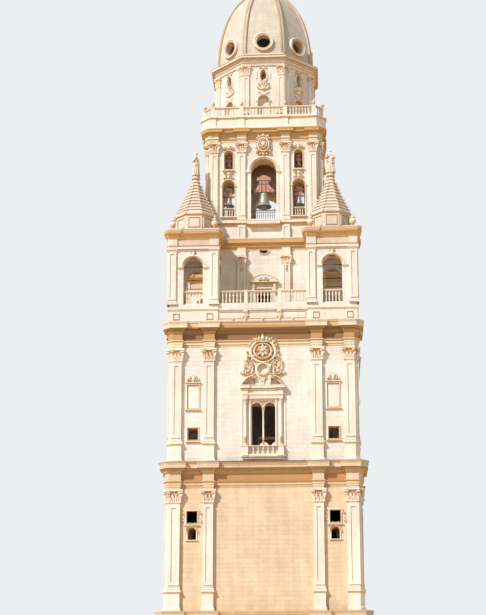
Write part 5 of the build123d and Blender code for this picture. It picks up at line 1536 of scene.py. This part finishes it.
def attic():
    """Mouldings of the attic, and the balustrade and finials round the foot of the drum."""
    half, cut = 0.65, 0.09
    top = DRUM_FOOT
    edge = 0.023
    near, far = 0.232, half - cut - edge
    step = 0.01
    profile = [(-16, -139), (8, -139), (8, -120), *cyma((7, -118), (1, -106), 4), (1, -40),
               *cyma((2, -36), (12, -20), 4), (14, -18), (14, -3), (-16, 1)]
    plan = broken_plan(half, step, [(near, edge + 0.01)], far - edge - 0.01, cut + 0.6 * step)
    piece("attic_mouldings", moulding(plan, at(top, profile)), angle=35, rounds=1)
    y = 0.019 - half
    side = [balustrade(x0, x1, top, 0.115, y)
            for x0, x1 in ((edge - far, -near - edge), (edge - near, near - edge), (near + edge, far - edge))]
    knob = lathed(at(0, [(13.2, 0), (13.2, 6), (7, 12), (10, 18), (21, 34), (22, 42), (14, 52), (16, 54),
                         (6, 60), (4, 70)]), 12)
    for x in (-far, -near, near, far):
        side += [pedestal(x, y, top, 0.117, edge), moved(knob, x, y, top + 0.115)]
    corner = balustrade(-0.045, 0.045, top, 0.115, 0.019 - (2 * half - cut) / math.sqrt(2))
    piece("turned_top_balustrade", join([around(join(side)), around(turned(corner, EIGHTH))]),
          replaced=["top_balustrade"], angle=40)


def folded_plan(apothem, projection, width):
    """The plan of a pilaster folded round the octagon's corner to the right of the front side."""
    slope = math.tan(EIGHTH / 2)
    out = apothem + projection
    x0 = apothem * slope - width
    axis = -math.pi / 2 + EIGHTH / 2
    c, s = math.cos(2 * axis), math.sin(2 * axis)
    back = GRIP - apothem
    front = [(x0, back), (x0, -out)]
    folded = [(x * c + y * s, x * s - y * c) for x, y in front[::-1]]
    return np.array(front + [(out * slope, -out)] + folded + [(-back * slope, back)])


def drum():
    """The octagon's folded order, entablature, kerb, niches, oval windows and their carving."""
    wall = -DRUM_APOTHEM
    foot, base = DRUM_FOOT, DRUM_TOP
    depth, out, width = 0.006, 0.016, 0.062
    x0 = DRUM_APOTHEM * math.tan(EIGHTH / 2) - width
    y = wall - out + depth
    pier = order([folded_plan(DRUM_APOTHEM, out - depth, width)],
                 [(x0, x0 + 0.064, y), (-x0 - 0.064, -x0, y)],
                 foot, foot + 0.085, foot + 0.115, base - 0.11, base, 0.012, 0.02, 0.026, depth)
    piece("drum_carved_order", around(pier, 8), replaced=["drum_pilasters"], angle=35)
    plan = octagon(DRUM_APOTHEM + 0.014)
    height = 0.105
    kerb = base + height
    profile = entablature_profile(base, height, sizes().upper_cornice_reach)
    steps = [(-60, -2), (10, -2), (10, 12), (4, 16), (2, 34), (6, 38), (6, 48), (-4, 50.5), (-60, 50.5)]
    crown = [moulding(plan, profile + [(-0.1, kerb), (-0.1, base)]),
             dentils(plan, 0.012, base + 0.066, 0.008, 0.009, 0.017),
             moulding(octagon(DOME_HALF + 0.012), at(kerb, steps))]
    piece("drum_moulded_entablature", join(crown), replaced=["drum_entablature"], angle=30)
    centre = foot + 0.525
    shell = [oval_ring(0, 60, 50, 40, 8, 14), leaf(0, 30, 70, 36, math.pi / 2, 22), oval(0, 35, 26, 22, 22),
             leaf(0, 45, 42, 30, -math.pi / 2, 16)]
    shell += pairs(scroll, (52, 75, 20, 1, 1.4, 0.24, 18))
    shell += pairs(leaf, (20, 20, 70, 36, 0.6, 18), (10, 30, 70, 34, 1.3, 20))
    parts = [ring_on(wall, centre, 0.03, 0.065, 0.02, 0.016),
             arch_on(wall, 0.0565, foot + 0.2335, foot + 0.004, 0.016, 0.012),
             both(ledge(0.0565, 0.084, foot + 0.216, foot + 0.234, wall, 0.014)),
             carving_on(wall, relief(150, 105, 3.6, shell), 0, centre - 0.18),
             carving_on(wall, swag(130, 45, 12), 0, foot + 0.3),
             carving_on(wall, crest(100, 34, 12), 0, centre + 0.083),
             both(carving_on(wall, leaf_drop(28, 130, 12), 0.074, centre - 0.07))]
    piece("drum_carving", around(join(parts), 8), angle=40)


def dome_ellipse():
    """Heights and half widths of the dome's elliptical section, evenly spaced by angle, with its normals."""
    end = math.acos(DOME_TOP_HALF / DOME_HALF)
    b = (DOME_TOP - DOME_FOOT) / math.sin(end)
    angle = np.linspace(0, end, 28)
    out, up = unit(np.stack([np.cos(angle) / DOME_HALF, np.sin(angle) / b], -1)).T
    return DOME_HALF * np.cos(angle), DOME_FOOT + b * np.sin(angle), out, up


def dome():
    """Double ribs on the dome's corners, and moulded rings round its openings."""
    reach, z, out, up = (row[:, None] for row in dome_ellipse())
    half = np.array(at(0, [(22, -14), (24, 8), (21, 12.5), (8, 12.5), (5.5, 6)]))
    across, rise = np.concatenate([[(-0.022, -0.014)], half, half[:0:-1] * [-1, 1]]).T
    rib = closed(spread(across, -reach / math.cos(EIGHTH / 2) - out * rise, z + up * rise))
    piece("double_ribs", around(turned(rib, EIGHTH / 2), 8), "Dome stone",
          replaced=["dome_ribs"], angle=35)
    profile = [(-1, -40), (31.5, -40), (31.5, -4), (29, 4), (22, 7), (15, 4), (12, -0.5), (6, -0.5), (3, 4),
               (-1, 2)]
    rings = moulding(circle(0, DOME_FOOT + 0.14, 0.078, count=40), at(0, profile))
    piece("dome_rings", around(upright(rings, -DOME_HALF - 0.022), 8), angle=35)


def lantern():
    """Pilaster strips, arch frames and cornice of the lantern, its ribbed cupola, ball and cross."""
    foot = DOME_TOP
    body = foot + 0.06
    top = body + 0.3
    half = 0.145
    kerb = [(-10, -2), (4, -2), (4, 14), (1.5, 20), (1.5, 46), (6, 50), (6, 60), (-10, 62)]
    cornice = [(-10, -4), (8, -4), (12, 4), (18.5, 6), (18.5, 18), (30, 20), (37.5, 21), (37.5, 36),
               (41, 46), (-10, 47)]
    pier = order([folded_plan(half, 0.01, 0.022)], [], body, body, body + 0.02, top - 0.05, top,
                 0.008, 0.01, 0.014)
    strips = [moulding(octagon(DOME_TOP_HALF), at(foot, kerb)), around(pier, 8),
              around(arch_on(-half, 0.028, body + 0.232, body + 0.03, 0.008, 0.006, 13), 8),
              moulding(octagon(half), at(top, cornice))]
    piece("lantern_carving", join(strips), angle=35)
    base, rise = top + 0.045, 0.17
    t = np.linspace(0, 1, 16)
    radius = np.interp(t, [0, 0.1, 0.3, 0.5, 0.7, 0.85, 1],
                       [0.143, 0.146, 0.138, 0.112, 0.072, 0.038, 0.022])
    roof = stack(octagon(0.1), [(a - 0.1, base + rise * b) for a, b in zip(radius, t)])
    out = (radius - 0.002) / math.cos(EIGHTH / 2)
    corners = EIGHTH * (np.arange(8) + 0.5) - math.pi / 2
    ribs = [tube(spread(out * math.cos(a), out * math.sin(a), base + rise * t), 0.006) for a in corners]
    piece("ribbed_cupola", join([roof] + ribs), "Spire stone", replaced=["lantern_cupola"],
          angle=30)
    tip = base + rise
    round_part = [(35 * math.cos(a), 38 + 30 * math.sin(a)) for a in np.linspace(-1.2, 1.2, 9)]
    ball = lathed(at(tip, [(12, -2), (20, 3), (11, 8), *round_part, (8, 70)]), 20)
    foot = tip + 0.07
    arms = foot + 0.62 * 0.13
    cross = boxes([(0, 0, foot + 0.06), (0, 0, arms)], [(0.009, 0.009, 0.122), (0.07, 0.009, 0.009)])
    knob = lathed(at(0, [(1, -7), (6, -4), (7.5, 0), (6, 4), (1, 7)]), 8)
    ends = copies(knob, [(0, 0, foot + 0.1225), (0.032, 0, arms), (-0.032, 0, arms)])
    piece("forged_finial", join([ball, cross, ends]), "Forged iron", replaced=["finial"], angle=40)


# The bells: name, scale, half width of the arms, place of the axle across and up
BELL_PLACES = (("great", 1.0, 0.1076, 0.0, 0.36), ("left", 0.56, 0.0472, -SIDE_BAY, 0.305),
               ("right", 0.56, 0.0472, SIDE_BAY, 0.305), ("upper_left", 0.38, 0.032, -SIDE_BAY, 0.705),
               ("upper_right", 0.38, 0.032, SIDE_BAY, 0.705))


def bell_shape(k):
    """A bell about its axle: one curve for outside and inside, three bands, crown loops and clapper."""
    r, h = 0.08, 0.155
    inside = [(0.0004, -0.1), (0.3, -0.11), (0.44, -0.16), (0.475, -0.3), (0.52, -0.5), (0.575, -0.64),
              (0.71, -0.85), (0.86, -0.97), (0.885, -1.0)]
    outside = [(0.985, -1.0), (1.0, -0.975), (0.93, -0.9), (0.905, -0.895), (0.89, -0.875), (0.83, -0.84),
               (0.75, -0.75), (0.755, -0.74), (0.745, -0.725), (0.665, -0.62), (0.61, -0.45), (0.575, -0.32),
               (0.585, -0.31), (0.585, -0.285), (0.57, -0.275), (0.55, -0.16), (0.56, -0.15), (0.55, -0.13),
               (0.52, -0.07), (0.44, -0.015), (0.2, 0.0), (0.0004, 0.0)]
    shell = lathed([(a * r, b * h) for a, b in inside + outside], 32)
    clapper = lathed([(a, b * h) for a, b in (
        (0.0035, -0.93), (0.0035, -0.9), (0.009, -0.885), (0.011, -0.84), (0.008, -0.79), (0.004, -0.74),
        (0.0035, -0.08))], 12)
    arc = np.linspace(0, math.pi, 9)
    rise = 0.02 * np.sin(arc) - 0.004
    loops = [tube(spread(x + 0.014 * np.cos(arc), 0, rise), 0.0035) for x in (-0.02, 0, 0.02)]
    loops.append(tube(spread(0, 0.014 * np.cos(arc), rise), 0.0035))
    return moved(join([shell, clapper] + loops), z=-0.022 * k, scale=k)


def yoke_outline(k, arm_half):
    """The yoke's front outline: wide arms, a waist, a lobed head and a small flat top."""
    arm, neck, head, top = 0.014 * k, 0.052 * k, 0.076 * k, 0.178 * k
    start, end = np.array([arm_half, 1.1 * arm]), np.array([neck, 0.42 * top])
    middle = np.array([0.5 * (arm_half + neck), 0.22 * top])
    pull = 2 * middle - 0.5 * (start + end)
    t = np.linspace(0, 1, 7)[:, None]
    curve = (1 - t) ** 2 * start + 2 * t * (1 - t) * pull + t ** 2 * end
    lobes = [(0.92 * neck, 0.6 * top), (0.99 * neck + 0.3 * (head - neck), 0.645 * top)]
    lobes += [(a * head, b * top) for a, b in ((0.97, 0.69), (1.0, 0.74), (0.985, 0.8), (0.9, 0.86),
                                               (0.76, 0.895), (0.58, 0.91), (0.42, 0.94), (0.34, 1.0))]
    right = np.concatenate([[(arm_half, -arm)], curve, lobes])
    return np.concatenate([right, right[::-1] * [-1, 1]])


def hung_bells():
    """The five bells and their painted yokes with iron straps; each rides on its own turning body."""
    for name, k, arm_half, x, axle in BELL_PLACES:
        place = x, AXLE_DEPTH - CORE_HALF, BELFRY_FLOOR + axle
        body = name + "_bell"
        half = 0.022 * k
        piece("cast_" + body, moved(bell_shape(k), *place), "Bell bronze", body, [body], 35)
        edge = 0.003 * k
        section = [(-edge, -half), (0, edge - half), (0, half - edge), (-edge, half)]
        wood = upright(stack(yoke_outline(k, arm_half), section), 0)
        piece("waisted_" + name + "_yoke", moved(wood, *place), "Painted timber", body,
              [name + "_yoke"], 30)
        reach = arm_half + 0.0195 * k
        pins = lathed([(0.006 * k, -reach), (0.006 * k, reach)])
        pins = (pins[0][:, [2, 0, 1]], pins[1], pins[2])
        deep = half + 0.0015 * k
        bolt = laid(lathed([(0.0035 * k, -deep - 0.003 * k), (0.0035 * k, deep + 0.003 * k)], 6))
        outer = 0.032 * k + 0.3 * arm_half
        irons = [boxes([(-0.022 * k, 0, 0.045 * k), (0.022 * k, 0, 0.045 * k), (-outer, 0, 0.001 * k),
                        (outer, 0, 0.001 * k), (0, 0, 0.076 * k), (0, 0, 0.118 * k)],
                       [(wide * k, 2 * deep, tall * k) for wide, tall in (
                           (0.007, 0.135), (0.007, 0.135), (0.007, 0.03), (0.007, 0.03), (0.104, 0.006),
                           (0.112, 0.006))]),
                 copies(bolt, [(a * k, 0, b * k) for a in (-0.022, 0.022) for b in (0.0, 0.05, 0.097)]), pins]
        piece(name + "_yoke_irons", moved(join(irons), *place), "Forged iron", body)


def doorway():
    """Two panelled timber leaves with a cover strip and nails in the ground-floor doorway."""
    lo, hi = low("door_leaves"), high("door_leaves")
    front = lo[1]
    panels = [frame_on(front, 0.018, 0.092, z, z + 0.075, 0.008, 0.004) for z in (0.03, 0.13, 0.23)]
    panels.append(boxes([(0, front - 0.002, (lo[2] + hi[2]) / 2)], [(0.008, 0.008, hi[2] - lo[2] - 0.01)]))
    piece("door_panels", both(join(panels)), "Oiled timber", angle=30)
    nail = laid(lathed([(0.0035, 0), (0.003, 0.002), (0.0005, 0.0035)], 8))
    places = [(a, front, b) for a in (-0.1, -0.01, 0.01, 0.1) for b in np.arange(0.02, 0.33, 0.05)]
    piece("door_nails", copies(nail, places), "Forged iron", angle=40)


# Operators, one for each piece or group of like pieces


class BellTowerFinishes(bpy.types.Operator):
    """Make the stone, metal and timber finishes"""
    bl_idname = "bell_tower.finishes"
    bl_label = "Finishes"

    def execute(self, context):
        make_finishes()
        return {"FINISHED"}


class BellTowerFrameFinish(bpy.types.Operator):
    """Give every solid of the frame its finish"""
    bl_idname = "bell_tower.frame_finish"
    bl_label = "Frame finish"

    def execute(self, context):
        dress_frame()
        return {"FINISHED"}


class BellTowerStage(bpy.types.Operator):
    """Set up the pale floor, the light and the camera"""
    bl_idname = "bell_tower.stage"
    bl_label = "Stage"

    def execute(self, context):
        make_stage()
        return {"FINISHED"}


class BellTowerLowerOrders(bpy.types.Operator):
    """Carve the pilasters and entablatures of the three lower storeys"""
    bl_idname = "bell_tower.lower_orders"
    bl_label = "Lower orders"

    def execute(self, context):
        lower_orders()
        return {"FINISHED"}


class BellTowerSideBays(bpy.types.Operator):
    """Frame the small windows, tablets and the doorway"""
    bl_idname = "bell_tower.side_bays"
    bl_label = "Side bays"

    def execute(self, context):
        side_bays()
        return {"FINISHED"}


class BellTowerLargeWindows(bpy.types.Operator):
    """Carve the two-light windows and their surrounds"""
    bl_idname = "bell_tower.large_windows"
    bl_label = "Large windows"

    def execute(self, context):
        large_windows()
        return {"FINISHED"}


class BellTowerTerrace(bpy.types.Operator):
    """Dress the terrace's parapet and set its balustrades"""
    bl_idname = "bell_tower.terrace"
    bl_label = "Terrace"

    def execute(self, context):
        terrace_dressing()
        return {"FINISHED"}


class BellTowerPavilions(bpy.types.Operator):
    """Carve the corner pavilions, their spires and urns"""
    bl_idname = "bell_tower.pavilions"
    bl_label = "Pavilions"

    def execute(self, context):
        pavilions()
        return {"FINISHED"}


class BellTowerStatues(bpy.types.Operator):
    """Stand a draped figure on each spire"""
    bl_idname = "bell_tower.statues"
    bl_label = "Statues"

    def execute(self, context):
        statues()
        return {"FINISHED"}


class BellTowerCore(bpy.types.Operator):
    """Carve the core behind the pavilions"""
    bl_idname = "bell_tower.core"
    bl_label = "Core"

    def execute(self, context):
        core()
        return {"FINISHED"}


class BellTowerBelfry(bpy.types.Operator):
    """Carve the bell chamber and set its railings"""
    bl_idname = "bell_tower.belfry"
    bl_label = "Belfry"

    def execute(self, context):
        belfry()
        return {"FINISHED"}


class BellTowerAttic(bpy.types.Operator):
    """Mould the attic and set the balustrade round the drum"""
    bl_idname = "bell_tower.attic"
    bl_label = "Attic"

    def execute(self, context):
        attic()
        return {"FINISHED"}


class BellTowerDrum(bpy.types.Operator):
    """Carve the octagonal drum"""
    bl_idname = "bell_tower.drum"
    bl_label = "Drum"

    def execute(self, context):
        drum()
        return {"FINISHED"}


class BellTowerDome(bpy.types.Operator):
    """Lay the dome's ribs and rings"""
    bl_idname = "bell_tower.dome"
    bl_label = "Dome"

    def execute(self, context):
        dome()
        return {"FINISHED"}


class BellTowerLantern(bpy.types.Operator):
    """Carve the lantern and forge its ball and cross"""
    bl_idname = "bell_tower.lantern"
    bl_label = "Lantern"

    def execute(self, context):
        lantern()
        return {"FINISHED"}


class BellTowerBells(bpy.types.Operator):
    """Hang the five bells on their yokes"""
    bl_idname = "bell_tower.bells"
    bl_label = "Bells"

    def execute(self, context):
        hung_bells()
        return {"FINISHED"}


class BellTowerDoorway(bpy.types.Operator):
    """Panel the two leaves of the door"""
    bl_idname = "bell_tower.doorway"
    bl_label = "Doorway"

    def execute(self, context):
        doorway()
        return {"FINISHED"}


STEPS = (BellTowerFinishes, BellTowerFrameFinish, BellTowerStage, BellTowerLowerOrders, BellTowerSideBays,
         BellTowerLargeWindows, BellTowerTerrace, BellTowerPavilions, BellTowerStatues, BellTowerCore,
         BellTowerBelfry, BellTowerAttic, BellTowerDrum, BellTowerDome, BellTowerLantern, BellTowerBells,
         BellTowerDoorway)


class BellTowerPanel(bpy.types.Panel):
    """Lists the settings and the steps"""
    bl_idname = "VIEW3D_PT_bell_tower"
    bl_label = "Bell tower"
    bl_space_type = "VIEW_3D"
    bl_region_type = "UI"
    bl_category = "Bell tower"

    def draw(self, context):
        scene = context.scene
        for settings in (scene.bell_tower_sizes, scene.bell_tower_colours, scene.bell_tower_light):
            for name in type(settings).__annotations__:
                self.layout.prop(settings, name)
        for step in STEPS:
            self.layout.operator(step.bl_idname)


CLASSES = (BellTowerSizes, BellTowerColours, BellTowerLight) + STEPS + (BellTowerPanel,)


def register():
    """Adds the settings, the operators and the panel to Blender."""
    for made in CLASSES:
        bpy.utils.register_class(made)
    bpy.types.Scene.bell_tower_sizes = bpy.props.PointerProperty(type=BellTowerSizes)
    bpy.types.Scene.bell_tower_colours = bpy.props.PointerProperty(type=BellTowerColours)
    bpy.types.Scene.bell_tower_light = bpy.props.PointerProperty(type=BellTowerLight)


def unregister():
    """Takes them away again."""
    del bpy.types.Scene.bell_tower_sizes
    del bpy.types.Scene.bell_tower_colours
    del bpy.types.Scene.bell_tower_light
    for made in reversed(CLASSES):
        bpy.utils.unregister_class(made)


def main():
    register()
    bpy.ops.bell_tower.finishes()
    bpy.ops.bell_tower.frame_finish()
    bpy.ops.bell_tower.stage()
    bpy.ops.bell_tower.lower_orders()
    bpy.ops.bell_tower.side_bays()
    bpy.ops.bell_tower.large_windows()
    bpy.ops.bell_tower.terrace()
    bpy.ops.bell_tower.pavilions()
    bpy.ops.bell_tower.statues()
    bpy.ops.bell_tower.core()
    bpy.ops.bell_tower.belfry()
    bpy.ops.bell_tower.attic()
    bpy.ops.bell_tower.drum()
    bpy.ops.bell_tower.dome()
    bpy.ops.bell_tower.lantern()
    bpy.ops.bell_tower.bells()
    bpy.ops.bell_tower.doorway()


if __name__ == "__main__":
    main()
